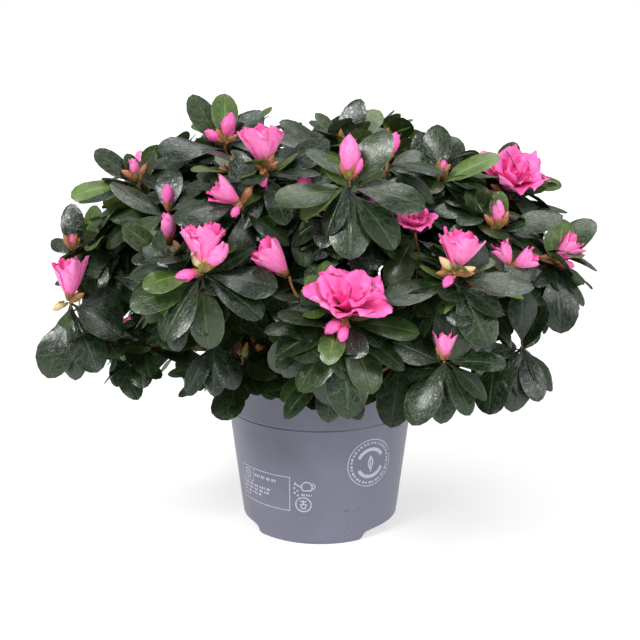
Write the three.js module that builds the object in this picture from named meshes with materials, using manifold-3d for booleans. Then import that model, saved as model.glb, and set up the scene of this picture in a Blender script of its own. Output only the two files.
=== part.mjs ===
// Azalea shrub in flower, standing in its round plastic nursery pot.
// Millimetres, +Z up. The plant's front faces -Y, and the origin is the centre of the pot's underside.
// Every azimuth is in degrees, 0 at the front and growing towards +X.
import * as THREE from "three";
import { mergeVertices } from "three/addons/utils/BufferGeometryUtils.js";
import Module from "manifold-3d";

const GAP = 0.3; // clearance between neighbouring parts
const SMALLEST = 0.05; // slivers thinner than this are taken out
const WELD = 1e-4; // corners closer than this are one corner
const POT_SPARE = 1; // clearance of the foliage round the pot's rim
const CLEAR = 20; // how far a cutting tool runs past what it cuts

// ---------------------------------------------------------------- driving dimensions

const POT = {
  height: 99,
  rimRadius: 60,
  bandHeight: 20.5,
  bandFootRadius: 59.3,
  neckRadius: 58.3, // wall just under the band
  footRadius: 48.8,
  footBevel: 1.2,
  lipBevel: 0.5,
  wall: 1.5,
  base: 2.5,
  ledgeRise: 0.6, // the ledge under the band slopes over this height
  bandOffset: 0.4, // extra thickness of the band's wall
  innerLedge: [0.5, 2], // the inside steps out from this far below the ledge to this far above it
  segments: 48,
};

// Two broad cut-backs in the pot's lower corner, where its drain holes are.
const RECESS = {
  azimuths: [80, 260],
  halfAngle: 44,
  height: 6,
  innerRadius: 41,
  holes: 2,
  holeSpacing: 40,
  holeRadius: 3,
  holeLength: 14,
  holeSides: 8,
  overCut: 0.1,
};

// The compost is level round the stem, as far as collar, and slopes to edgeDrop at the wall.
const SOIL = { drop: 14, mound: 3, collar: 6, edgeDrop: 2, segments: 32 };

const STEM = {
  height: 36,
  flareRadius: 11,
  radius: 6.2,
  topRadius: 5.2,
  flareHeight: 9,
  lean: 3,
  leanAzimuth: -60,
  sides: 14,
  rings: 9,
};

// A bough's elbow is a share of its run outwards and of its rise. The leader's is steeper.
const BOUGH = {
  baseRadius: 2.6,
  tipRadius: 1.5,
  sides: 6,
  rings: 5,
  highestStart: 0.97,
  elbow: { run: 0.55, rise: 0.28 },
  leaderElbow: { run: 0.2, rise: 0.6 },
};

// The crown's masses of foliage, in tiers from the top down. Each has the azimuth and reach of its
// middle from the crown's axis, its height above the ground, and its half sizes: round the crown,
// outwards and upwards.
const MASSES = [
  ["foliage_top_middle", { azimuth: 38, reach: 20, height: 236, half: [33, 31, 32] }],
  ["foliage_top_left", { azimuth: -88, reach: 53, height: 235, half: [34, 32, 33] }],
  ["foliage_top_right", { azimuth: 62, reach: 78, height: 220, half: [31, 30, 28] }],
  ["foliage_top_back_left", { azimuth: -150, reach: 66, height: 228, half: [39, 33, 28] }],
  ["foliage_top_back_right", { azimuth: 148, reach: 68, height: 228, half: [39, 34, 28] }],
  ["foliage_upper_front_left", { azimuth: -34, reach: 78, height: 221, half: [31, 29, 30] }],
  ["foliage_upper_front", { azimuth: 10, reach: 86, height: 212, half: [31, 31, 31] }],
  ["foliage_upper_front_right", { azimuth: 52, reach: 106, height: 203, half: [29, 31, 27] }],
  ["foliage_upper_left", { azimuth: -84, reach: 108, height: 204, half: [32, 34, 28] }],
  ["foliage_upper_right", { azimuth: 94, reach: 116, height: 209, half: [31, 31, 30] }],
  ["foliage_upper_back_left", { azimuth: -126, reach: 110, height: 201, half: [39, 32, 33] }],
  ["foliage_upper_back", { azimuth: 178, reach: 112, height: 205, half: [41, 33, 32] }],
  ["foliage_upper_back_right", { azimuth: 132, reach: 112, height: 201, half: [40, 32, 33] }],
  ["foliage_front_left", { azimuth: -37, reach: 122, height: 180, half: [37, 29, 32] }],
  ["foliage_front", { azimuth: 3, reach: 128, height: 166, half: [36, 31, 35] }],
  ["foliage_front_right", { azimuth: 37, reach: 128, height: 178, half: [32, 30, 29] }],
  ["foliage_left", { azimuth: -88, reach: 134, height: 174, half: [32, 28, 27] }],
  ["foliage_right", { azimuth: 84, reach: 142, height: 169, half: [31, 26, 39] }],
  ["foliage_back_left", { azimuth: -128, reach: 131, height: 163, half: [45, 30, 33] }],
  ["foliage_back", { azimuth: -177, reach: 134, height: 165, half: [43, 29, 33] }],
  ["foliage_back_right", { azimuth: 131, reach: 135, height: 162, half: [45, 30, 33] }],
  ["foliage_low_left", { azimuth: -70, reach: 134, height: 132, half: [30, 26, 35] }],
  ["foliage_low_front_left", { azimuth: -37, reach: 89, height: 130, half: [30, 28, 34] }],
  ["foliage_low_front", { azimuth: 4, reach: 98, height: 128, half: [36, 28, 25] }],
  ["foliage_low_front_right", { azimuth: 31, reach: 114, height: 134, half: [28, 27, 31] }],
  ["foliage_low_right", { azimuth: 68, reach: 117, height: 124, half: [31, 25, 34] }],
  ["foliage_low_back_left", { azimuth: -118, reach: 112, height: 124, half: [40, 31, 31] }],
  ["foliage_low_back", { azimuth: -170, reach: 108, height: 126, half: [42, 30, 31] }],
  ["foliage_low_back_right", { azimuth: 128, reach: 113, height: 123, half: [40, 31, 30] }],
];
// Each mass is a ball of size core with lobes. The lobes follow each other round it by lobeTurn of
// a turn, each moved by up to lobeWander and sized from lobeSpread upwards. Boughs end in a mass
// that is taken as grown a little.
const MASS = {
  detail: 2,
  lobes: 9,
  lobeHeight: 0.34,
  lobeSharpness: 5,
  lobeTurn: 0.618,
  lobeWander: 0.3,
  lobeSpread: 0.5,
  core: 0.84,
  smallest: 0.9,
  grown: 1.02,
};

// Boughs, each with the mass it carries and how far up the stem it leaves, from 0 to 1.
const BOUGHS = [
  ["bough_front", { to: "foliage_front", leaves: 0.42 }],
  ["bough_right", { to: "foliage_right", leaves: 0.42 }],
  ["bough_back", { to: "foliage_back", leaves: 0.42 }],
  ["bough_left", { to: "foliage_left", leaves: 0.42 }],
  ["bough_low_left", { to: "foliage_low_left", leaves: 0.66 }],
  ["bough_low_front_right", { to: "foliage_low_front_right", leaves: 0.66 }],
  ["bough_back_right", { to: "foliage_back_right", leaves: 0.66 }],
  ["bough_back_left", { to: "foliage_back_left", leaves: 0.88 }],
  ["bough_front_left", { to: "foliage_front_left", leaves: 0.88 }],
  ["bough_upper_right", { to: "foliage_upper_right", leaves: 0.88 }],
  ["bough_upper_back", { to: "foliage_upper_back", leaves: 0.88 }],
  ["bough_leader", { to: "foliage_top_middle", leaves: 1 }],
];

const UP = new THREE.Vector3(0, 0, 1);
const soilTop = POT.height - SOIL.drop;

// ---------------------------------------------------------------- materials

const FINISHES = {
  pot: { color: "#74747f", roughness: 0.5, metalness: 0 },
  soil: { color: "#1f1a17", roughness: 0.95, metalness: 0 },
  bark: { color: "#6b4b33", roughness: 0.85, metalness: 0 },
  foliage: { color: "#2c3d2a", roughness: 0.55, metalness: 0 },
};

// ---------------------------------------------------------------- solids

const wasm = await Module();
wasm.setup();

function solidOf(geometry) {
  const bare = geometry.clone();
  bare.deleteAttribute("normal");
  bare.deleteAttribute("uv");
  const merged = mergeVertices(bare, WELD);
  const shell = new wasm.Mesh({
    numProp: 3,
    vertProperties: new Float32Array(merged.attributes.position.array),
    triVerts: new Uint32Array(merged.index.array),
  });
  return new wasm.Manifold(shell);
}

function meshOf(name, solid, finish) {
  const shell = solid.simplify(SMALLEST).getMesh();
  const geometry = new THREE.BufferGeometry();
  geometry.setAttribute("position", new THREE.BufferAttribute(shell.vertProperties, 3));
  geometry.setIndex(new THREE.BufferAttribute(shell.triVerts, 1));
  geometry.computeVertexNormals();
  const mesh = new THREE.Mesh(geometry, new THREE.MeshStandardMaterial(FINISHES[finish]));
  mesh.name = name;
  return mesh;
}

// A solid of revolution about Z. The profile is [radius, height] points, anticlockwise as seen
// with the radius growing to the right, and it starts and ends on the axis or closes on itself.
function lathe(profile, segments) {
  const points = profile.map(([radius, height]) => new THREE.Vector2(radius, height));
  const turned = new THREE.LatheGeometry(points, segments);
  return solidOf(turned.rotateX(Math.PI / 2));
}

function direction(azimuth) {
  const angle = THREE.MathUtils.degToRad(azimuth);
  return new THREE.Vector3(Math.sin(angle), -Math.cos(angle), 0);
}

// Repeatable numbers from 0 to 1, one stream for each seed.
const STREAM = { spacing: 7919, offset: 17, multiplier: 16807, modulus: 2147483647 };

function stream(seed) {
  let state = seed * STREAM.spacing + STREAM.offset;
  return () => {
    state = (state * STREAM.multiplier) % STREAM.modulus;
    return state / STREAM.modulus;
  };
}

// ---------------------------------------------------------------- pot

// A slice of the ring below the recess's sloping face.
function recessCutter(azimuth) {
  const outer = wallRadius(RECESS.height) + RECESS.overCut;
  const slope = (outer - RECESS.innerRadius) / RECESS.height;
  const far = POT.rimRadius + CLEAR;
  const face = (height) => RECESS.innerRadius + slope * height;
  const top = RECESS.height;
  const below = -RECESS.height;
  const ring = lathe(
    [[face(below), below], [far, below], [far, top], [face(top), top], [face(below), below]],
    POT.segments,
  );
  const corner = new THREE.Shape();
  const side = Math.tan(THREE.MathUtils.degToRad(RECESS.halfAngle)) * far;
  corner.moveTo(0, 0);
  corner.lineTo(far, -side);
  corner.lineTo(far, side);
  const wedge = new THREE.ExtrudeGeometry(corner, { depth: 3 * CLEAR, bevelEnabled: false });
  wedge.translate(0, 0, -CLEAR);
  wedge.rotateZ(THREE.MathUtils.degToRad(azimuth - 90));
  return ring.intersect(solidOf(wedge));
}

function drainHoles(azimuth) {
  const tilt = Math.atan2(RECESS.height, POT.footRadius - RECESS.innerRadius);
  const middle = (POT.footRadius + RECESS.innerRadius) / 2;
  const holes = [];
  for (let i = 0; i < RECESS.holes; i += 1) {
    const turn = azimuth + (i - (RECESS.holes - 1) / 2) * RECESS.holeSpacing;
    const drill = new THREE.CylinderGeometry(
      RECESS.holeRadius,
      RECESS.holeRadius,
      RECESS.holeLength,
      RECESS.holeSides,
    );
    drill.rotateZ(tilt - Math.PI);
    drill.rotateX(Math.PI / 2);
    drill.translate(middle, 0, RECESS.height / 2);
    drill.rotateZ(THREE.MathUtils.degToRad(turn - 90));
    holes.push(solidOf(drill));
  }
  return holes;
}

function wallRadius(height) {
  const neck = POT.height - POT.bandHeight;
  return POT.footRadius + ((POT.neckRadius - POT.footRadius) * height) / neck;
}

// The space inside the wall, filled up to a height. Its floor's corner is sloped all round, which
// leaves room for the recesses outside.
function potCavity(inset, top) {
  const neck = POT.height - POT.bandHeight;
  const floor = POT.base + inset - POT.wall;
  const corner = RECESS.height + POT.wall + inset;
  const bandInner = POT.bandFootRadius - inset - POT.bandOffset;
  const [under, over] = POT.innerLedge;
  const profile = [
    [0, floor],
    [RECESS.innerRadius - inset, floor],
    [wallRadius(corner) - inset, corner],
  ];
  if (top > neck) {
    const flare = ((top - neck) / POT.bandHeight) * (POT.rimRadius - POT.bandFootRadius);
    profile.push([POT.neckRadius - inset, neck - under]);
    profile.push([bandInner, neck + over]);
    profile.push([bandInner + flare, top]);
  } else {
    profile.push([wallRadius(top) - inset, top]);
  }
  profile.push([0, top]);
  return profile;
}

function pot() {
  const neck = POT.height - POT.bandHeight;
  const body = lathe(
    [
      [0, 0],
      [POT.footRadius - POT.footBevel, 0],
      [POT.footRadius, POT.footBevel],
      [POT.neckRadius, neck - POT.ledgeRise],
      [POT.bandFootRadius, neck],
      [POT.rimRadius, POT.height - POT.lipBevel],
      [POT.rimRadius - POT.lipBevel, POT.height],
      [0, POT.height],
    ],
    POT.segments,
  );
  const outside = RECESS.azimuths.reduce(
    (solid, azimuth) => solid.subtract(recessCutter(azimuth)),
    body,
  );
  const cavity = lathe(potCavity(POT.wall, POT.height + POT.lipBevel), POT.segments);
  const hollow = outside.subtract(cavity);
  const holes = RECESS.azimuths.flatMap(drainHoles);
  return holes.reduce((solid, hole) => solid.subtract(hole), hollow);
}

function soil() {
  const fill = lathe(potCavity(POT.wall + GAP, soilTop + SOIL.mound), SOIL.segments);
  const crater = lathe(
    [
      [0, soilTop + SOIL.mound],
      [STEM.flareRadius + SOIL.collar, soilTop + SOIL.mound],
      [POT.rimRadius, soilTop - SOIL.edgeDrop],
      [POT.rimRadius, soilTop + CLEAR],
      [0, soilTop + CLEAR],
    ],
    SOIL.segments,
  );
  return fill.subtract(crater);
}

// ---------------------------------------------------------------- stem and boughs

// A limb with flat ends: a cylinder bent along a curve, with its radius read from a function.
function limb(curve, radiusAt, sides, rings) {
  const bar = new THREE.CylinderGeometry(1, 1, 1, sides, rings);
  const { normals, binormals } = curve.computeFrenetFrames(rings);
  const place = bar.getAttribute("position");
  for (let i = 0; i < place.count; i += 1) {
    const along = place.getY(i) + 0.5;
    const ring = Math.round(along * rings);
    const radius = radiusAt(along);
    const point = curve.getPointAt(along);
    point.addScaledVector(normals[ring], place.getX(i) * radius);
    point.addScaledVector(binormals[ring], -place.getZ(i) * radius);
    place.setXYZ(i, point.x, point.y, point.z);
  }
  const bent = solidOf(bar);
  return bent.volume() > 0 ? bent : solidOf(bar.scale(-1, 1, 1)).mirror([1, 0, 0]);
}

const stemFoot = new THREE.Vector3(0, 0, soilTop + SOIL.mound + GAP);
const stemHead = stemFoot
  .clone()
  .addScaledVector(direction(STEM.leanAzimuth), STEM.lean)
  .add(new THREE.Vector3(0, 0, STEM.height));
const stemLine = new THREE.LineCurve3(stemFoot, stemHead);

function stemRadius(along) {
  const flare = Math.max(0, 1 - (along * STEM.height) / STEM.flareHeight);
  const shaft = THREE.MathUtils.lerp(STEM.radius, STEM.topRadius, along);
  return shaft + (STEM.flareRadius - STEM.radius) * flare ** 2;
}

function stem() {
  const standing = limb(stemLine, stemRadius, STEM.sides, STEM.rings);
  return standing.trimByPlane([0, 0, 1], stemFoot.z);
}

function middleOf({ azimuth, reach, height }) {
  return direction(azimuth).multiplyScalar(reach).setZ(height);
}

// A bough leaves the stem low and outwards, then rises to the mass at its end.
function bough({ to, leaves }, masses, stemSolid) {
  const start = stemLine.getPoint(Math.min(leaves, BOUGH.highestStart));
  const end = middleOf(masses.get(to));
  const outwards = end.clone().sub(start).setZ(0);
  const rise = end.z - start.z;
  const share = leaves === 1 ? BOUGH.leaderElbow : BOUGH.elbow;
  const elbow = start.clone().addScaledVector(outwards, share.run);
  elbow.z += rise * share.rise;
  const curve = new THREE.QuadraticBezierCurve3(start, elbow, end);
  const radius = (along) => THREE.MathUtils.lerp(BOUGH.baseRadius, BOUGH.tipRadius, along);
  return limb(curve, radius, BOUGH.sides, BOUGH.rings).subtract(stemSolid);
}

// ---------------------------------------------------------------- foliage

// An uneven closed blob: a ball with lobes pushed out where shoots stand proud of it.
function blob({ azimuth, reach, height, half }, seed) {
  const random = stream(seed);
  const lobes = [];
  for (let i = 0; i < MASS.lobes; i += 1) {
    const up = 1 - (2 * (i + random())) / MASS.lobes;
    const turn = 2 * Math.PI * (i * MASS.lobeTurn + MASS.lobeWander * random());
    const flat = Math.sqrt(1 - up * up);
    const size = MASS.lobeHeight * (MASS.lobeSpread + random());
    lobes.push([new THREE.Vector3(flat * Math.cos(turn), flat * Math.sin(turn), up), size]);
  }
  const ball = new THREE.IcosahedronGeometry(1, MASS.detail);
  const place = ball.getAttribute("position");
  const outward = new THREE.Vector3();
  for (let i = 0; i < place.count; i += 1) {
    outward.fromBufferAttribute(place, i).normalize();
    const swell = lobes.reduce(
      (sum, [lobe, size]) => sum + size * Math.max(0, outward.dot(lobe)) ** MASS.lobeSharpness,
      MASS.core,
    );
    outward.multiplyScalar(swell);
    place.setXYZ(i, outward.x, outward.y, outward.z);
  }
  ball.scale(half[0], half[1], half[2]);
  ball.rotateZ(THREE.MathUtils.degToRad(azimuth));
  const middle = middleOf({ azimuth, reach, height });
  ball.translate(middle.x, middle.y, middle.z);
  return solidOf(ball);
}

function sizeTowards({ azimuth, half }, line) {
  const local = line.clone().applyAxisAngle(UP, -THREE.MathUtils.degToRad(azimuth));
  return 1 / Math.hypot(local.x / half[0], local.y / half[1], local.z / half[2]);
}

// Neighbouring masses meet at flat faces with a gap between them.
function partedMass(mass, masses, seed) {
  let solid = blob(mass, seed);
  const middle = middleOf(mass);
  for (const other of masses.values()) {
    const line = middleOf(other).sub(middle);
    const distance = line.length();
    if (distance === 0) continue;
    line.normalize();
    const own = sizeTowards(mass, line);
    const theirs = sizeTowards(other, line);
    const share = (distance * own) / (own + theirs) - GAP / 2;
    const offset = -middle.dot(line) - share;
    solid = solid.trimByPlane([-line.x, -line.y, -line.z], offset);
  }
  return solid.simplify(MASS.smallest);
}

// ---------------------------------------------------------------- assembly

const shrub = new THREE.Group();
shrub.name = "azalea_shrub";

const masses = new Map(MASSES);
const stemSolid = stem();
const stemRoom = limb(stemLine, (along) => stemRadius(along) + GAP, STEM.sides, STEM.rings);
const roomRadius = POT.rimRadius + POT_SPARE;
const roomTop = POT.height + POT_SPARE;
const potRoom = lathe(
  [
    [0, soilTop],
    [roomRadius, soilTop],
    [roomRadius, roomTop],
    [0, roomTop],
  ],
  POT.segments,
);

const foliage = new Map(
  MASSES.map(([name, mass], i) => [name, partedMass(mass, masses, i + 1).subtract(potRoom)]),
);
const foliageRoom = [...foliage.values()].map((solid) => {
  const { min, max } = solid.boundingBox();
  const middle = min.map((low, axis) => (low + max[axis]) / 2);
  const back = middle.map((value) => -value);
  return solid.translate(back).scale(MASS.grown).translate(middle);
});

shrub.add(meshOf("pot", pot(), "pot"));
shrub.add(meshOf("soil", soil(), "soil"));
shrub.add(meshOf("stem", stemSolid, "bark"));
for (const [name, plan] of BOUGHS) {
  const whole = bough(plan, masses, stemRoom);
  const bare = foliageRoom.reduce((solid, room) => solid.subtract(room), whole);
  const pieces = bare.decompose();
  const nearest = pieces.sort((a, b) => a.boundingBox().min[2] - b.boundingBox().min[2])[0];
  shrub.add(meshOf(name, nearest, "bark"));
}
for (const [name, solid] of foliage) {
  shrub.add(meshOf(name, solid, "foliage"));
}

export default shrub;
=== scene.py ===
import math
from collections import namedtuple

import bpy
import numpy as np
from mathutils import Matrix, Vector


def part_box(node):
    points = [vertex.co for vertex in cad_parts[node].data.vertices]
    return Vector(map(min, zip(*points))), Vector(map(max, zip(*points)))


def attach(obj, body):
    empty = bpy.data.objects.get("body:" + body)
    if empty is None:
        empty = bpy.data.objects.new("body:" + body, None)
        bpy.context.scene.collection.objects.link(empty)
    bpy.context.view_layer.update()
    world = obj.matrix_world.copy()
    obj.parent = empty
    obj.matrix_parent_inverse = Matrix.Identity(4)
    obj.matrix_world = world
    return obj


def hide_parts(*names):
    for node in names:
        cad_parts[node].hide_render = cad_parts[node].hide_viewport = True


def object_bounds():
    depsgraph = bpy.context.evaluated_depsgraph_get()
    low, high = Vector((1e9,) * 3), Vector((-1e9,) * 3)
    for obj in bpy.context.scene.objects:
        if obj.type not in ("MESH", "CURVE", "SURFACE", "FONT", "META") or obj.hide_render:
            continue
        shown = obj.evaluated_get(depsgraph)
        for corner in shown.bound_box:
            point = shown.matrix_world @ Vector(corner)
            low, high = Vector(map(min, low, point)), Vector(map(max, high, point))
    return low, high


MM = 0.001
UP = np.array([0.0, 0.0, 1.0])
GOLDEN = math.radians(137.5)

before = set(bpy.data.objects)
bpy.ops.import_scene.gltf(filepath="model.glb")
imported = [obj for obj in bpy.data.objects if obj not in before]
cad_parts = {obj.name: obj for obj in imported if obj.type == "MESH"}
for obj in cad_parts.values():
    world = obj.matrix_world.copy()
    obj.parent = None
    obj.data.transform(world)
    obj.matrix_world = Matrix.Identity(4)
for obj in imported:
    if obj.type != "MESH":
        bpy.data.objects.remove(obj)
cad_box = [list(corner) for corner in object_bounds()]
cad_low, cad_high = (np.array(corner) for corner in cad_box)


# ---------------------------------------------------------------- vectors


def unit(vector):
    return vector / max(np.linalg.norm(vector), 1e-9)


def square_to(vector, axis):
    """The part of a vector that stands at right angles to an axis, at unit length."""
    flat = vector - axis * np.dot(vector, axis)
    if np.linalg.norm(flat) < 1e-4:
        flat = np.cross(axis, np.array([0.3, 0.5, 0.8]))
    return unit(flat)


def compass(azimuth):
    angle = math.radians(azimuth)
    return np.array([math.sin(angle), -math.cos(angle), 0.0])


def turned(axis, angle):
    """A unit vector at right angles to an axis, turned round it by an angle."""
    first = square_to(UP if abs(axis[2]) < 0.9 else np.array([0.0, -1.0, 0.0]), axis)
    return first * math.cos(angle) + np.cross(axis, first) * math.sin(angle)


def middle_and_half(node):
    low, high = (np.array(corner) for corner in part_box(node))
    return (low + high) / 2, (high - low) / 2


def round_ring(sides):
    """Each place round a ring with the next one."""
    return [(j, (j + 1) % sides) for j in range(sides)]


def eased(share):
    """A share from 0 to 1 that starts and stops gently."""
    return share * share * (3 - 2 * share)


# ---------------------------------------------------------------- joined meshes from arrays

MAP_FOOT, MAP_TIP = (0.5, 0.0), (0.5, 1.0)


class Slab:
    """The faces of a thin closed slab: a grid of points on its upper side and another on its under
    side, which share their outline. Both ends run to a point, unless the last row is the margin."""

    def __init__(self, rows, columns, margin=False):
        self.columns, self.margin = columns, margin
        inner = columns - 2
        under_start = rows * columns
        under_rows = rows - 1 if margin else rows
        foot = under_start + under_rows * inner
        tip = foot + 1

        def over(i, j):
            return i * columns + j

        def under(i, j):
            shared = j in (0, columns - 1) or i >= under_rows
            return over(i, j) if shared else under_start + i * inner + j - 1

        faces, upper = [], []
        for side, at in ((True, over), (False, under)):
            for j in range(columns - 1):
                corners = [(foot, at(0, j + 1), at(0, j))]
                for i in range(rows - 1):
                    near, far = (at(i, j), at(i, j + 1)), (at(i + 1, j), at(i + 1, j + 1))
                    if 2 * j < columns - 1:
                        corners += [(near[0], near[1], far[0]), (near[1], far[1], far[0])]
                    else:
                        corners += [(near[0], near[1], far[1]), (near[0], far[1], far[0])]
                if not margin:
                    corners.append((at(rows - 1, j), at(rows - 1, j + 1), tip))
                faces += corners if side else [tuple(reversed(face)) for face in corners]
                upper += [side] * len(corners)
        self.sizes = np.array([len(face) for face in faces])
        self.corners = np.array([corner for face in faces for corner in face])
        self.upper = np.array(upper)
        self.outline = np.zeros(foot + 1 if margin else tip + 1, bool)
        self.outline[[over(i, j) for i in range(rows) for j in (0, columns - 1)]] = True
        self.outline[foot:] = True
        if margin:
            self.outline[over(rows - 1, 0) : over(rows, 0)] = True
        self.across = np.linspace(-1, 1, columns)

    def points(self, over, under, foot, tip=None):
        """All its points, from the two grids and the end points."""
        below = (under[:-1] if self.margin else under)[:, 1:-1]
        ends = [foot] if self.margin else [foot, tip]
        width = over.shape[-1]
        return np.concatenate([over.reshape(-1, width), below.reshape(-1, width), ends])

    def pattern(self, along):
        """Each point's place in its own pattern: across and along, both from 0 to 1."""
        grid = np.stack(np.meshgrid((self.across + 1) / 2, along), axis=-1)
        return self.points(grid, grid, MAP_FOOT, MAP_TIP)


class Ball:
    """The faces of a closed body turned about an axis, with one point at each end."""

    def __init__(self, rings, sides):
        foot, tip, last = rings * sides, rings * sides + 1, (rings - 1) * sides
        faces = []
        for j, k in round_ring(sides):
            faces.append((foot, k, j))
            faces += [(i + j, i + k, i + sides + k, i + sides + j) for i in range(0, last, sides)]
            faces.append((last + j, last + k, tip))
        self.sizes = np.array([len(face) for face in faces])
        self.corners = np.array([corner for face in faces for corner in face])
        self.upper = np.ones(len(faces), bool)
        self.outline = np.zeros(tip + 1, bool)
        self.turns = np.arange(sides) * 2 * math.pi / sides

    def points(self, rings, foot, tip):
        return np.concatenate([rings.reshape(-1, rings.shape[-1]), [foot, tip]])

    def pattern(self, along):
        halfway = np.abs(np.arange(len(self.turns)) / len(self.turns) * 2 - 1)
        return self.points(np.stack(np.meshgrid(halfway, along), axis=-1), MAP_FOOT, MAP_TIP)


class Piece:
    """Many closed shapes of one kind, joined into one mesh."""

    TILE_EDGE = 0.02

    def __init__(self, name, slot, finishes):
        self.name, self.slot, self.finishes = name, slot, finishes
        self.tiles = math.ceil(math.sqrt(len(finishes)))
        self.vertex_total = 0
        self.parts = []

    def add(self, shape, points, pattern, finish, under=None):
        index = self.finishes.index(finish)
        other = index if under is None else self.finishes.index(under)
        finishes = np.where(shape.upper, index, other)
        self.parts.append((shape, points, pattern, finishes, self.vertex_total))
        self.vertex_total += len(points)

    def build(self, materials):
        mesh = bpy.data.meshes.new(self.name)
        points = np.concatenate([part[1] for part in self.parts])
        corners = np.concatenate([shape.corners + start for shape, _, _, _, start in self.parts])
        sizes = np.concatenate([shape.sizes for shape, *_ in self.parts])
        finishes = np.concatenate([part[3] for part in self.parts])
        starts = np.concatenate([[0], np.cumsum(sizes)[:-1]])
        mesh.vertices.add(len(points))
        mesh.vertices.foreach_set("co", points.astype(np.float32).ravel())
        mesh.loops.add(len(corners))
        mesh.loops.foreach_set("vertex_index", corners.astype(np.int32))
        mesh.polygons.add(len(sizes))
        mesh.polygons.foreach_set("loop_start", starts.astype(np.int32))
        mesh.polygons.foreach_set("material_index", finishes.astype(np.int32))
        mesh.polygons.foreach_set("use_smooth", np.ones(len(sizes), bool))
        pattern = np.concatenate([part[2] for part in self.parts])[corners]
        self._map(mesh, "leaf", pattern)
        tile = np.repeat(finishes, sizes)
        place = np.stack([tile % self.tiles, tile // self.tiles], axis=1)
        inset = self.TILE_EDGE + (1 - 2 * self.TILE_EDGE) * pattern
        self._map(mesh, "OFBake", (place + inset) / self.tiles)
        for finish in self.finishes:
            mesh.materials.append(materials[finish])
        mesh.update(calc_edges=True)
        outline = np.concatenate([shape.outline for shape, *_ in self.parts])
        ends = np.zeros(len(mesh.edges) * 2, np.int32)
        mesh.edges.foreach_get("vertices", ends)
        sharp = outline[ends.reshape(-1, 2)].all(axis=1)
        mesh.attributes.new("sharp_edge", "BOOLEAN", "EDGE").data.foreach_set("value", sharp)
        mesh.validate()
        return show(mesh, self.slot)

    @staticmethod
    def _map(mesh, name, values):
        layer = mesh.uv_layers.new(name=name)
        layer.uv.foreach_set("vector", values.astype(np.float32).ravel())


def put(name, data):
    """A new object in the scene, at the origin."""
    thing = bpy.data.objects.new(name, data)
    bpy.context.scene.collection.objects.link(thing)
    return thing


def show(mesh, slot):
    """Puts a finished mesh in the scene as a piece of the plant, which is one body."""
    piece = put(mesh.name, mesh)
    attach(piece, "root")
    return piece


def plain_mesh(name, points, faces):
    mesh = bpy.data.meshes.new(name)
    mesh.from_pydata([tuple(point) for point in points], [], faces)
    mesh.validate()
    return mesh


def settled(thing, name):
    """The plain mesh that an object's modifiers leave; the object itself goes."""
    bpy.context.view_layer.update()
    mesh = bpy.data.meshes.new_from_object(
        thing.evaluated_get(bpy.context.evaluated_depsgraph_get())
    )
    bpy.data.objects.remove(thing)
    mesh.name = name
    return mesh


# ---------------------------------------------------------------- shader maths


class Signal:
    """A socket of a material's nodes, on which Python's operators add Math nodes."""

    def __init__(self, finish, socket):
        self.finish, self.socket = finish, socket

    def _math(self, operation, *values):
        node = self.finish.node("ShaderNodeMath", {"operation": operation}, dict(enumerate(values)))
        return Signal(self.finish, node.outputs[0])

    def __add__(self, other):
        return self._math("ADD", self, other)

    def __radd__(self, other):
        return self._math("ADD", other, self)

    def __sub__(self, other):
        return self._math("SUBTRACT", self, other)

    def __rsub__(self, other):
        return self._math("SUBTRACT", other, self)

    def __mul__(self, other):
        return self._math("MULTIPLY", self, other)

    def __rmul__(self, other):
        return self._math("MULTIPLY", other, self)

    def __abs__(self):
        return self._math("ABSOLUTE", self)

    def pingpong(self, half):
        return self._math("PINGPONG", self, half)

    def clip(self):
        return self._math("MINIMUM", self._math("MAXIMUM", self, 0.0), 1.0)

    def between(self, low, high):
        """0 at low and 1 at high, smooth between them; low may be above high."""
        node = self.finish.node(
            "ShaderNodeMapRange",
            {"interpolation_type": "SMOOTHSTEP"},
            {0: self, 1: min(low, high), 2: max(low, high)},
        )
        rising = Signal(self.finish, node.outputs[0])
        return rising if low < high else 1 - rising


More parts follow.
